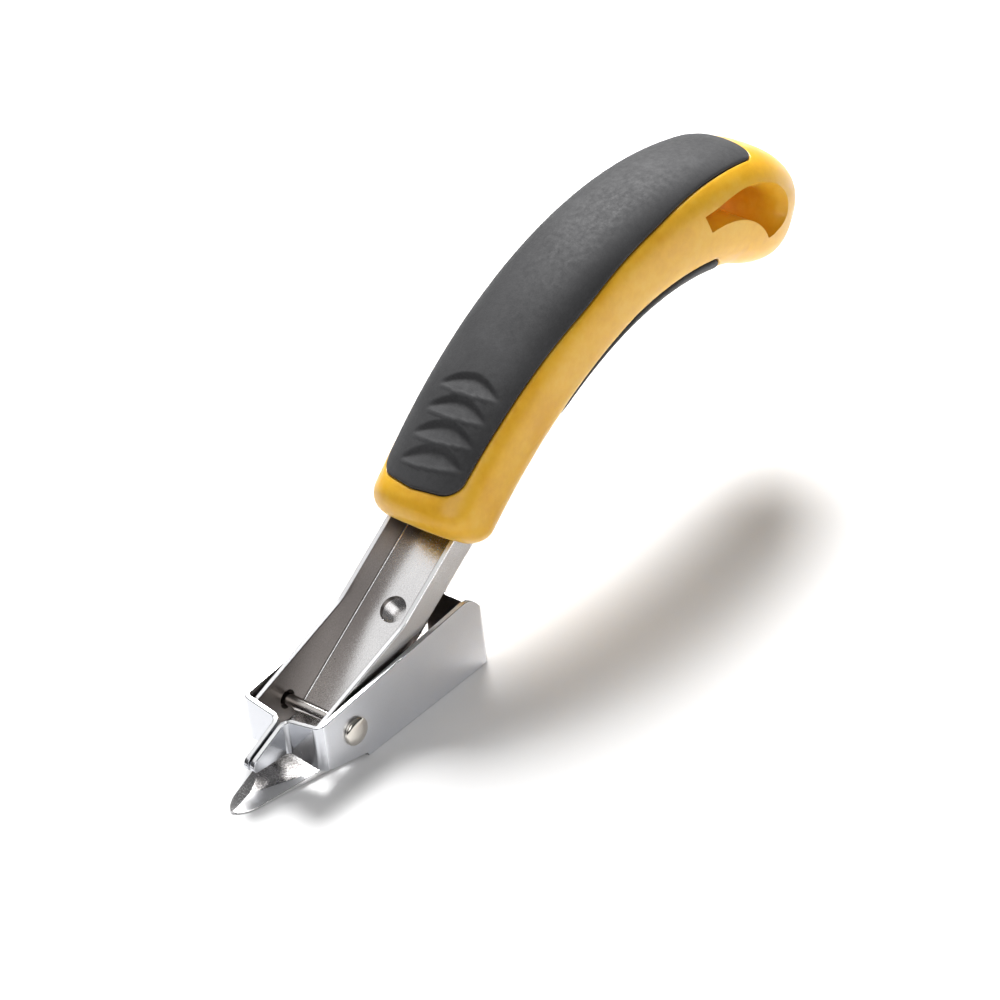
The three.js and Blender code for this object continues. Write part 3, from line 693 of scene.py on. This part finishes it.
def skin_out(t, turn, out):
    """A point `out` millimetres off the skin, along its normal."""
    low_t, high_t = max(t - PROBE, 0), min(t + PROBE, 1)
    normal = (skin(t, turn + PROBE) - skin(t, turn - PROBE)).cross(skin(high_t, turn) - skin(low_t, turn))
    point = skin(t, turn)
    centre = centre_line(t)
    normal.normalize()
    if normal.dot(point - Vector((centre.x, 0, centre.y))) < 0:
        normal.negate()
    return point + normal * out


def handle_places():
    """Places along the handle for its rings, closer together in the rim and toward the tail's end."""
    rim = [RIM_T * (1 - math.cos(math.pi / 2 * k / RIM_STEPS)) for k in range(RIM_STEPS)]
    tail_start = 1 - TAIL_ROUND
    body = list(np.linspace(RIM_T, tail_start, BODY_STEPS))
    tail = [tail_start + TAIL_ROUND * (1 - (1 - k / TAIL_STEPS) ** 2.2) for k in range(1, TAIL_STEPS)]
    return rim + body + tail + [1 - 1e-5]


def section_turns():
    """Turns around the section, spaced evenly along the oval rather than by angle."""
    fine = np.linspace(0, 2 * math.pi, 1441)
    power = 2 / ROUNDNESS
    x = np.sign(np.cos(fine)) * np.abs(np.cos(fine)) ** power
    y = np.sign(np.sin(fine)) * np.abs(np.sin(fine)) ** power
    run = np.concatenate([[0], np.cumsum(np.hypot(np.diff(x), np.diff(y)))])
    return list(np.interp(np.linspace(0, run[-1], TURN_STEPS + 1)[:-1], run, fine))


def handle_skin():
    turns = section_turns()
    rings = [[tuple(skin(t, turn)) for turn in turns] for t in handle_places()]
    return loft("handle_body_plastic", rings, 60)


def length_table():
    """Places along the centre line and the lengths run up to them."""
    places = np.linspace(0, 1, 801)
    points = [centre_line(t) for t in places]
    run = np.concatenate([[0], np.cumsum([(b - a).length for a, b in zip(points, points[1:])])])
    return places, run


PLACES, RUN = length_table()


def t_at(run):
    return float(np.interp(run, RUN, PLACES))


def run_at(t):
    return float(np.interp(t, PLACES, RUN))


def turn_at(t, y, side):
    """The turn around the section that reaches y, above (side 1) or below (side -1) the middle."""
    width = between(HALF_WIDTH, t) * tail_shrink(t)[1]
    share = min(0.9999, abs(y) / width)
    turn = math.acos(share ** (ROUNDNESS / 2))
    turn = turn if y >= 0 else math.pi - turn
    return turn * side


def half_outline(corners, spacing):
    """One side of a grip's outline, from the middle of its front end round to the middle of its
    tail end, as (run along the handle, distance from the middle plane) points."""
    return resample(rounded(corners, 14, closed=False), spacing)


def ladder(name, half, loops, side, height_of=None, columns=56):
    """A closed pad lying on the skin. half is one side of its outline, loops are (inset, height)
    pairs from its underside up to its rim, and height_of adds relief to its top."""
    mirrored = [Vector((p.x, -p.y)) for p in reversed(half[1:-1])]
    whole = half + mirrored
    count = len(whole)
    points, faces = [], []

    def lay(run, y, out):
        t = t_at(run)
        points.append(tuple(skin_out(t, turn_at(t, y, side), out)))
        return len(points) - 1

    rings = []
    for inset, height in loops:
        rings.append([lay(p.x, p.y, height) for p in grow(whole, -inset)])
    for a, b in zip(rings, rings[1:]):
        for j in range(count):
            k = (j + 1) % count
            faces.append((a[j], a[k], b[k], b[j]))
    for number, (inset, height) in ((0, loops[0]), (-1, loops[-1])):
        edge = grow(whole, -inset)
        top = number == -1
        rows = []
        for i in range(1, len(half) - 1):
            right, left = edge[i], edge[count - i]
            row = [rings[number][i]]
            for j in range(1, columns):
                share = j / columns
                run, y = mix(right.x, left.x, share), mix(right.y, left.y, share)
                extra = height_of(run, y) if top and height_of else 0
                row.append(lay(run, y, height + extra))
            row.append(rings[number][count - i])
            rows.append(row)
        for a, b in zip(rows, rows[1:]):
            for j in range(columns):
                faces.append((a[j], a[j + 1], b[j + 1], b[j]))
        front, back = rings[number][0], rings[number][len(half) - 1]
        for j in range(columns):
            faces.append((front, rows[0][j], rows[0][j + 1]))
            faces.append((back, rows[-1][j + 1], rows[-1][j]))
    return new_object(name, points, faces, 60)


# Half outlines of the two grips: run along the handle, distance from its middle, corner radius.
TOP_HALF = [(run_at(0.049), 0), (run_at(0.057), 11.0, 4.6), (run_at(0.185), 11.9, 60),
            (run_at(0.411), 13.2, 120), (run_at(0.600), 12.6, 90), (run_at(0.844), 9.9, 3.2),
            (run_at(0.850), 0)]
BOTTOM_HALF = [(run_at(0.260), 0), (run_at(0.263), 12.4, 5), (run_at(0.506), 13.6, 90),
               (run_at(0.755), 13.6, 4.5), (run_at(0.787), 0)]
# Inset and height of the loops that round a grip's rim, and of those that cut the groove for it.
PAD_LOOPS = [(0.0, -GRIP_DEPTH), (0.0, -0.25), (0.05, 0.0), (0.16, 0.16), (0.34, 0.26), (0.6, GRIP_PROUD)]
GROOVE_LOOPS = [(-0.2, -GRIP_DEPTH - 0.2), (-0.2, -0.42), (-0.25, -0.22), (-0.4, -0.07), (-0.62, 0.0),
                (-0.95, 0.15), (-1.0, 2.5)]

# Places along the handle of each scoop's right and left end.
RIB_PLACES = ((0.096, 0.081), (0.132, 0.121), (0.170, 0.162), (0.209, 0.201))
RIB_MIDDLE_Y = 1.9
RIB_HALF_LENGTH = 8.0
RIB_DEPTH = 0.75
RIB_ARCH = 3.4
RIB_WALL = 0.45
RIB_LIP, RIB_LIP_WIDTH = 0.22, 0.55


def rib_relief(run, y):
    """Four lens-shaped scoops across the front of the top grip: a steep arched wall on the side
    away from the lever, and a floor that climbs back to the skin on the other."""
    depth = 0.0
    share = (y - RIB_MIDDLE_Y) / RIB_HALF_LENGTH
    if abs(share) >= 1:
        return depth
    arch = RIB_ARCH * (1 - share * share)
    for right_t, left_t in RIB_PLACES:
        chord = mix(run_at(left_t), run_at(right_t), (share + 1) / 2)
        near, far = chord - 0.4 - 0.25 * arch, chord + arch
        if run < near - 0.1 or run > far + RIB_WALL:
            continue
        rise = smooth(run, near - 0.1, far)
        wall = 1 - smooth(run, far - 0.1, far + RIB_WALL)
        lip = RIB_LIP * math.exp(-((run - near) / RIB_LIP_WIDTH) ** 2)
        depth += (lip - RIB_DEPTH * rise * wall) * (1 - share**4)
    return depth


SLOT_STEPS = 24
SLOT_FLARE = 3.1
FLARE_STEPS = 8
FLARE_START, FLARE_DEPTH = 8.2, 6.8


def slot_outline():
    """Side view of the hanging slot, which follows the tail's curve around a rounded lobe."""
    start = (-130, 66.2)
    curves = (((-143.5, 65.4), (-153.4, 60.8)), ((-159.8, 57.2), (-158.6, 52)),
              ((-156.6, 48.2), (-152.4, 48.8)), ((-147, 61.2), (-131.6, 61.2)))
    points = [Vector(start)]
    for control, end in curves:
        a, b, c = points[-1], Vector(control), Vector(end)
        for k in range(1, SLOT_STEPS + 1):
            u = k / SLOT_STEPS
            points.append(a * (1 - u) ** 2 + b * (2 * u * (1 - u)) + c * u * u)
    return resample([tuple(p) for p in points], 0.55, closed=True)


def slot_cutter():
    """The slot, opened out towards the skin on the side of the tail."""
    base = slot_outline()
    sign = -area_sign(base)
    outward = [n * sign for n in normals_of(base, True)]
    weights = []
    for p, n in zip(base, outward):
        tailward = smooth(-p.x, 131, 150)
        lobe = smooth(n.y * 0.55 - n.x * 0.85, -0.15, 0.65)
        weights.append(tailward * lobe)
    for _ in range(6):
        after = weights[1:] + weights[:1]
        weights = [(weights[i - 1] + 2 * w + after[i]) / 4 for i, w in enumerate(weights)]
    levels = []
    for k in range(FLARE_STEPS + 1):
        flare = SLOT_FLARE * (1 - math.cos(math.pi / 2 * k / FLARE_STEPS))
        levels.append((FLARE_START + FLARE_DEPTH * k / FLARE_STEPS, flare))
    levels.append((20, SLOT_FLARE + 0.3))
    levels = [(-depth, flare) for depth, flare in reversed(levels)] + levels
    rings = []
    for depth, flare in levels:
        rings.append([(p.x + n.x * (flare * w), depth, p.y + n.y * (flare * w))
                      for p, n, w in zip(base, outward, weights)])
    return loft("cutter", rings)


def tang_pocket():
    """The pocket in the handle that the lever's tang fills, with a small clearance."""
    clear = 0.25
    start, end = 30, TANG_END_S + clear
    low, high = LEVER_FLOOR - SHEET - clear, LEVER_WALL_TOP + clear
    corners = [lever_point(s, h) for s, h in ((start, low), (end, low), (end, high), (start, high))]
    return plate("cutter", corners, -LEVER_HALF_WIDTH - clear, LEVER_HALF_WIDTH + clear, 0.4)


def handle_body():
    """The solid skin with a groove for each grip, the hanging slot and the tang's pocket cut out."""
    body = handle_skin()
    for corners, side in ((TOP_HALF, 1), (BOTTOM_HALF, -1)):
        groove = ladder("cutter", half_outline(corners, 0.8), GROOVE_LOOPS, side, columns=24)
        combine(body, groove, "DIFFERENCE")
    combine(body, slot_cutter(), "DIFFERENCE")
    combine(body, tang_pocket(), "DIFFERENCE")
    shade(body, 38)
    return body


# ---- Materials -----------------------------------------------------------------------------------
def fill_ramp(ramp, stops):
    while len(ramp.elements) < len(stops):
        ramp.elements.new(0.5)
    for element, (place, colour) in zip(ramp.elements, stops):
        element.position = place
        element.color = (*colour, 1)


class Nodes:
    """Short calls for building one material's node tree."""

    def __init__(self, name):
        self.material = bpy.data.materials.new(name)
        self.material.use_nodes = True
        self.tree = self.material.node_tree
        self.shader = self.tree.nodes["Principled BSDF"]
        self.where = self.tree.nodes.new("ShaderNodeTexCoord").outputs["Object"]

    def add(self, kind, **settings):
        node = self.tree.nodes.new("ShaderNode" + kind)
        for key, value in settings.items():
            setattr(node, key, value)
        return node

    def link(self, source, target):
        self.tree.links.new(source, target)

    def set(self, **values):
        for key, value in values.items():
            self.shader.inputs[key.replace("_", " ")].default_value = value

    def scaled(self, scale, turn=(0, 0, 0)):
        mapping = self.add("Mapping")
        mapping.inputs["Scale"].default_value = scale
        mapping.inputs["Rotation"].default_value = turn
        self.link(self.where, mapping.inputs["Vector"])
        return mapping.outputs["Vector"]

    def noise(self, scale, detail=2, roughness=0.5, stretch=(1, 1, 1), turn=(0, 0, 0)):
        node = self.add("TexNoise")
        node.inputs["Scale"].default_value = scale
        node.inputs["Detail"].default_value = detail
        node.inputs["Roughness"].default_value = roughness
        self.link(self.scaled(stretch, turn), node.inputs["Vector"])
        return node.outputs["Fac"]

    def ramp(self, source, stops):
        node = self.add("ValToRGB")
        fill_ramp(node.color_ramp, stops)
        self.link(source, node.inputs["Fac"])
        return node.outputs["Color"]

    def grey(self, source, low, high, start=0.0, end=1.0):
        node = self.add("MapRange")
        node.inputs["From Min"].default_value = start
        node.inputs["From Max"].default_value = end
        node.inputs["To Min"].default_value = low
        node.inputs["To Max"].default_value = high
        self.link(source, node.inputs["Value"])
        return node.outputs["Result"]

    def math(self, operation, a, b):
        node = self.add("Math", operation=operation)
        for socket, value in ((0, a), (1, b)):
            if isinstance(value, (int, float)):
                node.inputs[socket].default_value = value
            else:
                self.link(value, node.inputs[socket])
        return node.outputs[0]

    def bump(self, *layers):
        """Layers are (height, strength, distance in millimetres), innermost first."""
        previous = None
        for height, strength, distance in layers:
            node = self.add("Bump")
            node.inputs["Strength"].default_value = strength
            node.inputs["Distance"].default_value = distance * MM
            self.link(height, node.inputs["Height"])
            if previous:
                self.link(previous, node.inputs["Normal"])
            previous = node.outputs["Normal"]
        self.link(previous, self.shader.inputs["Normal"])

    def to(self, source, socket):
        self.link(source, self.shader.inputs[socket])


def steel(name, bright, dark, rough_low, rough_high, speckle, scratch=0.12):
    """Plated sheet: faint cloudiness, fine grain and a few hairline scratches."""
    nodes = Nodes(name)
    nodes.set(Metallic=1.0)
    cloud = nodes.noise(60, 2, 0.5)
    grain = nodes.noise(3200, 2, 0.6)
    blend = nodes.math("ADD", nodes.math("MULTIPLY", cloud, 0.45), nodes.math("MULTIPLY", grain, 0.55))
    tint = nodes.ramp(blend, [(0.38, dark), (0.6, bright)])
    nodes.to(tint, "Base Color")
    hair = nodes.noise(1500, 2, 0.6, (0.03, 1, 1), (0, 0.35, 0.1))
    lines = nodes.grey(hair, 0, 1, 0.68, 0.74)
    rough = nodes.grey(blend, rough_low, rough_high, 0.35, 0.65)
    nodes.to(nodes.math("ADD", rough, nodes.math("MULTIPLY", lines, 0.1)), "Roughness")
    nodes.bump((cloud, 0.02, 0.3), (grain, speckle, 0.05), (lines, scratch, -0.02))
    return nodes.material


def yellow_plastic():
    """Glossy moulded plastic, faintly cloudy and unevenly textured."""
    nodes = Nodes("yellow_plastic")
    cloud = nodes.noise(55, 4, 0.6)
    fine = nodes.noise(420, 4, 0.65)
    blend = nodes.math("ADD", nodes.math("MULTIPLY", cloud, 0.6), nodes.math("MULTIPLY", fine, 0.4))
    colour = nodes.ramp(blend, [(0.36, (0.85, 0.43, 0.014)), (0.5, (0.92, 0.50, 0.026)),
                                (0.64, (0.95, 0.56, 0.055))])
    nodes.to(colour, "Base Color")
    nodes.to(nodes.grey(fine, 0.3, 0.46, 0.3, 0.7), "Roughness")
    nodes.set(Coat_Weight=0.12, Coat_Roughness=0.2, Subsurface_Weight=0.12, Subsurface_Scale=0.0015)
    nodes.shader.inputs["Subsurface Radius"].default_value = (1.0, 0.5, 0.1)
    nodes.bump((nodes.noise(160, 3, 0.6), 0.16, 0.35), (nodes.noise(900, 3, 0.6), 0.12, 0.06))
    return nodes.material


def black_rubber():
    """Matt rubber with a fine grain and a little dust in its roughness."""
    nodes = Nodes("black_rubber")
    cloud = nodes.noise(70, 4, 0.6)
    grain = nodes.noise(2300, 3, 0.7)
    dust = nodes.noise(700, 5, 0.75)
    blend = nodes.math("ADD", nodes.math("MULTIPLY", cloud, 0.7), nodes.math("MULTIPLY", grain, 0.3))
    colour = nodes.ramp(blend, [(0.34, (0.026, 0.026, 0.028)), (0.52, (0.038, 0.038, 0.040)),
                                (0.7, (0.054, 0.054, 0.057))])
    nodes.to(colour, "Base Color")
    nodes.to(nodes.grey(dust, 0.64, 0.8, 0.35, 0.65), "Roughness")
    nodes.set(Sheen_Weight=0.05, Sheen_Roughness=0.5)
    nodes.bump((nodes.noise(240, 3, 0.6), 0.15, 0.25), (grain, 0.32, 0.1))
    return nodes.material


def paint(obj, material, slot, body, *replaced):
    obj.data.materials.clear()
    obj.data.materials.append(material)
    if body:
        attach(obj, body)
    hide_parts(*replaced)


def repaint(obj, *layers):
    """Gives other materials to faces. Layers are (material, chosen), where chosen(centre in
    millimetres, normal) picks the faces, and a later layer goes over the earlier ones."""
    for material, chosen in layers:
        obj.data.materials.append(material)
        for face in obj.data.polygons:
            if chosen((face.center - PIVOT) / MM, face.normal):
                face.material_index = len(obj.data.materials) - 1


# ---- Faces of the steel pieces that look different from the rest ---------------------------------
NEAR = 0.1


def jaw_inside(centre, normal):
    """The inner faces of the jaw's plates and tab, and the top of its floor, which get painted shade."""
    wall = abs(centre.y) < JAW_HALF_WIDTH - SHEET + NEAR and normal.y * centre.y < -0.5
    tab = HEEL_MIDDLE_X < centre.x < 0 and normal.x > 0.5
    floor_top = normal.z > 0.5 and centre.z < SOLE + 2 * SHEET
    return centre.x < FLANGE_X - SHEET / 2 + NEAR and (wall or tab or floor_top)


def jaw_outside(centre, normal):
    """The broad outer faces of the jaw's two plates, which are painted brighter as light."""
    return abs(normal.y) > 0.95 and abs(centre.y) > JAW_HALF_WIDTH - NEAR


def cut_edge(centre, normal):
    """The sheared top edges of the upright sheets, which get a painted highlight."""
    return normal.z > 0.8 and centre.z > NOSE_TIP_Z and abs(centre.y) > NOSE_HALF - SHEET


def lever_inside(centre, normal):
    """The inner faces of the lever's walls, which get painted shade."""
    depth = abs(centre.y) - (LEVER_HALF_WIDTH - SHEET)
    return normal.y * centre.y < 0 and abs(normal.y) > 0.5 and abs(depth) < NEAR


def lever_cut_edge(centre, normal):
    """The sheared top edges of the lever's walls, which get a painted highlight."""
    return cut_edge(centre, normal) and abs(centre.y) > LEVER_HALF_WIDTH - SHEET


def pin_hole(centre, normal):
    """The bores of the rivet's holes in the lever's walls, which get painted shade."""
    return abs(normal.y) < 0.9 and math.hypot(centre.x, centre.z) < PIN_HOLE_RADIUS + 0.2


def beak_flat(centre, normal):
    """The part of the beak's top that is left between its two bevels, which gets a darker, speckled steel.
    """
    half = beak_ridge(max(centre.x, BEAK_ROOT_X))
    return normal.z > 0.5 and centre.x > BEAK_ROOT_X - 3 and abs(centre.y) < half


def beak_bevel(centre, normal):
    """The ground bevel on the beak's +Y side, which gets a painted highlight; the bevel on the -Y side
    keeps the satin steel.
    """
    if normal.z < 0.5 or centre.x < BEAK_ROOT_X:
        return False
    return beak_ridge(centre.x) < centre.y < beak_half(centre.x) - 0.12


def floor_hole(centre, normal):
    """The bore of the hole in the lever's floor, which gets painted shade."""
    hole = lever_point(FLOOR_HOLE_S, LEVER_FLOOR - SHEET / 2)
    up = lever_point(0, 1)
    away = Vector((centre.x - hole.x, centre.z - hole.y))
    across = math.hypot(away.x * up.y - away.y * up.x, centre.y)
    flat = abs(normal.x * up.x + normal.z * up.y) > 0.8
    return across < FLOOR_HOLE_RADIUS + 0.3 and abs(away.dot(up)) < SHEET and not flat


def pin_middle(centre, normal):
    """The rivet's pin, between its two heads."""
    return abs(centre.y) < JAW_HALF_WIDTH


# ---- Pieces --------------------------------------------------------------------------------------
chrome = steel("chromed_sheet", (0.66, 0.67, 0.70), (0.61, 0.62, 0.65), 0.13, 0.2, 0.04)
satin = steel("satin_sheet", (0.88, 0.87, 0.87), (0.70, 0.69, 0.69), 0.19, 0.3, 0.4)
polished = steel("rivet_steel", (0.74, 0.70, 0.64), (0.68, 0.64, 0.58), 0.12, 0.16, 0.04)
blue_steel = steel("spring_steel", (0.13, 0.14, 0.16), (0.09, 0.10, 0.12), 0.3, 0.42, 0.1)
pin_steel = steel("pin_steel", (0.58, 0.55, 0.52), (0.46, 0.44, 0.42), 0.16, 0.24, 0.06)
# Painted light: the plates' outer faces get a brighter base colour than the chrome, standing in for light
# where the floor's shadow shows in them; their higher roughness is a satin finish.
painted_light_plate = steel("plate_face_painted_light", (0.82, 0.83, 0.86), (0.77, 0.78, 0.81), 0.3, 0.36, 0.04, scratch=0.2)
# Painted shade: a darker steel for inner faces and bores, where shade falls between the sheets.
painted_shade_steel = steel("inner_sheet_painted_shade", (0.30, 0.275, 0.26), (0.22, 0.20, 0.19), 0.28, 0.4, 0.1)
# Painted highlight: a brighter steel for the upward top edges and for the beak's +Y bevel.
painted_highlight_steel = steel("sheet_edge_painted_highlight", (0.90, 0.90, 0.91), (0.82, 0.82, 0.83), 0.3, 0.38, 0.05)
# A darker, speckled steel for the flat between the beak's two bevels.
dark_speckled_steel = steel("dark_speckled_face", (0.36, 0.35, 0.34), (0.20, 0.19, 0.19), 0.22, 0.34, 0.5)
yellow = yellow_plastic()
rubber = black_rubber()

jaw_mesh, arm_mesh = jaw_frame(), lever_arm()
paint(jaw_mesh, chrome, "chromed_sheet", "jaw", "jaw_frame")
# Painted highlights on the jaw's top edges.
# Painted light on the jaw plates' outer faces.
# Painted shade on the jaw's inner faces.
repaint(jaw_mesh, (painted_shade_steel, jaw_inside), (painted_light_plate, jaw_outside), (painted_highlight_steel, cut_edge))
paint(arm_mesh, satin, "chromed_sheet", "lever", "lever_arm")
# Painted highlights on the lever's top edges and on the beak's +Y bevel.
# Painted shade on the lever's inner faces and bores.
repaint(arm_mesh, (painted_shade_steel, lever_inside), (painted_highlight_steel, lever_cut_edge), (painted_shade_steel, pin_hole),
        (dark_speckled_steel, beak_flat), (painted_highlight_steel, beak_bevel), (painted_shade_steel, floor_hole))
rivet_mesh = pivot_rivet()
paint(rivet_mesh, polished, "rivet_steel", "jaw", "pivot_rivet")
repaint(rivet_mesh, (pin_steel, pin_middle))
paint(spring_rivet(), polished, "rivet_steel", "jaw", "spring_rivet")
leaf, bend_start, bend_end = return_spring()
paint(leaf, blue_steel, "spring_steel", None, "return_spring")
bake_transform(leaf)

paint(handle_body(), yellow, "yellow_plastic", "lever", "handle_body")
top_pad = ladder("top_grip_rubber", half_outline(TOP_HALF, 0.45), PAD_LOOPS, 1, rib_relief)
paint(top_pad, rubber, "black_rubber", "lever", "top_grip")
bottom_pad = ladder("bottom_grip_rubber", half_outline(BOTTOM_HALF, 0.5), PAD_LOOPS, -1)
paint(bottom_pad, rubber, "black_rubber", "lever", "bottom_grip")


# ---- Floor, light and camera, in metres ----------------------------------------------------------
FLOOR_HALF = 1.6
FLOOR_CORNERS = ((-1, -1), (1, -1), (1, 1), (-1, 1))
CENTRE = (CAD_BOUNDS[0] + CAD_BOUNDS[1]) / 2


def floor():
    mesh = bpy.data.meshes.new("floor")
    mesh.from_pydata([(x * FLOOR_HALF, y * FLOOR_HALF, 0) for x, y in FLOOR_CORNERS], [], [(0, 1, 2, 3)])
    obj = bpy.data.objects.new("floor", mesh)
    bpy.context.scene.collection.objects.link(obj)
    nodes = Nodes("pale_floor")
    colour = nodes.ramp(nodes.noise(6, 2), [(0.3, (0.9, 0.9, 0.9)), (0.7, (0.93, 0.93, 0.93))])
    nodes.to(colour, "Base Color")
    nodes.set(Roughness=0.9)
    obj.data.materials.append(nodes.material)


def softbox(name, direction, distance, size, power):
    """A rectangular light that faces the part's middle from a direction and a distance."""
    data = bpy.data.lights.new(name, "AREA")
    data.shape = "RECTANGLE"
    data.size, data.size_y = size
    data.energy = power
    obj = bpy.data.objects.new(name, data)
    toward = Vector(direction).normalized()
    obj.location = CENTRE + toward * distance
    obj.rotation_mode = "QUATERNION"
    obj.rotation_quaternion = (-toward).to_track_quat("-Z", "Y")
    bpy.context.scene.collection.objects.link(obj)


# How bright the world is at each share of the way up, from the horizon to straight overhead.
SKY = ((0.0, 0.75), (0.1, 0.14), (0.35, 0.6), (1.0, 1.0))
SKY_STRENGTH = 0.2


def world_light():
    world = bpy.data.worlds.new("studio")
    world.use_nodes = True
    tree = world.node_tree
    back = tree.nodes["Background"]
    where = tree.nodes.new("ShaderNodeTexCoord").outputs["Generated"]
    split = tree.nodes.new("ShaderNodeSeparateXYZ")
    tree.links.new(where, split.inputs[0])
    ramp = tree.nodes.new("ShaderNodeValToRGB")
    fill_ramp(ramp.color_ramp, [(place, (value, value, value * 1.01)) for place, value in SKY])
    tree.links.new(split.outputs["Z"], ramp.inputs["Fac"])
    tree.links.new(ramp.outputs["Color"], back.inputs["Color"])
    back.inputs["Strength"].default_value = SKY_STRENGTH
    bpy.context.scene.world = world


floor()
world_light()
softbox("key", (-0.52, -0.42, 0.80), 0.9, (0.34, 0.34), 14)
softbox("overhead", (0.28, -0.5, 0.82), 1.0, (0.9, 0.7), 1.6)
softbox("fill", (0.75, 0.9, 0.75), 1.2, (0.9, 0.7), 4.0)

CAMERA_PLACE = PIVOT + Vector((477.95, 530.97, 547.23)) * MM
CAMERA_TARGET = PIVOT + Vector((-51.08, 15.09, 33.42)) * MM
CAMERA_ROLL = math.radians(-6.74)
CAMERA_LENS, SENSOR_WIDTH = 144.5, 36


def make_camera():
    data = bpy.data.cameras.new("camera")
    data.lens = CAMERA_LENS
    data.sensor_width = SENSOR_WIDTH
    data.clip_start, data.clip_end = 0.01, 10
    obj = bpy.data.objects.new("camera", data)
    obj.location = CAMERA_PLACE
    obj.rotation_mode = "QUATERNION"
    look = (CAMERA_TARGET - CAMERA_PLACE).to_track_quat("-Z", "Y")
    obj.rotation_quaternion = look @ Quaternion((0, 0, 1), CAMERA_ROLL)
    bpy.context.scene.collection.objects.link(obj)
    bpy.context.scene.camera = obj


make_camera()
bpy.context.scene.view_settings.view_transform = "Standard"
bpy.context.scene.view_settings.look = "None"
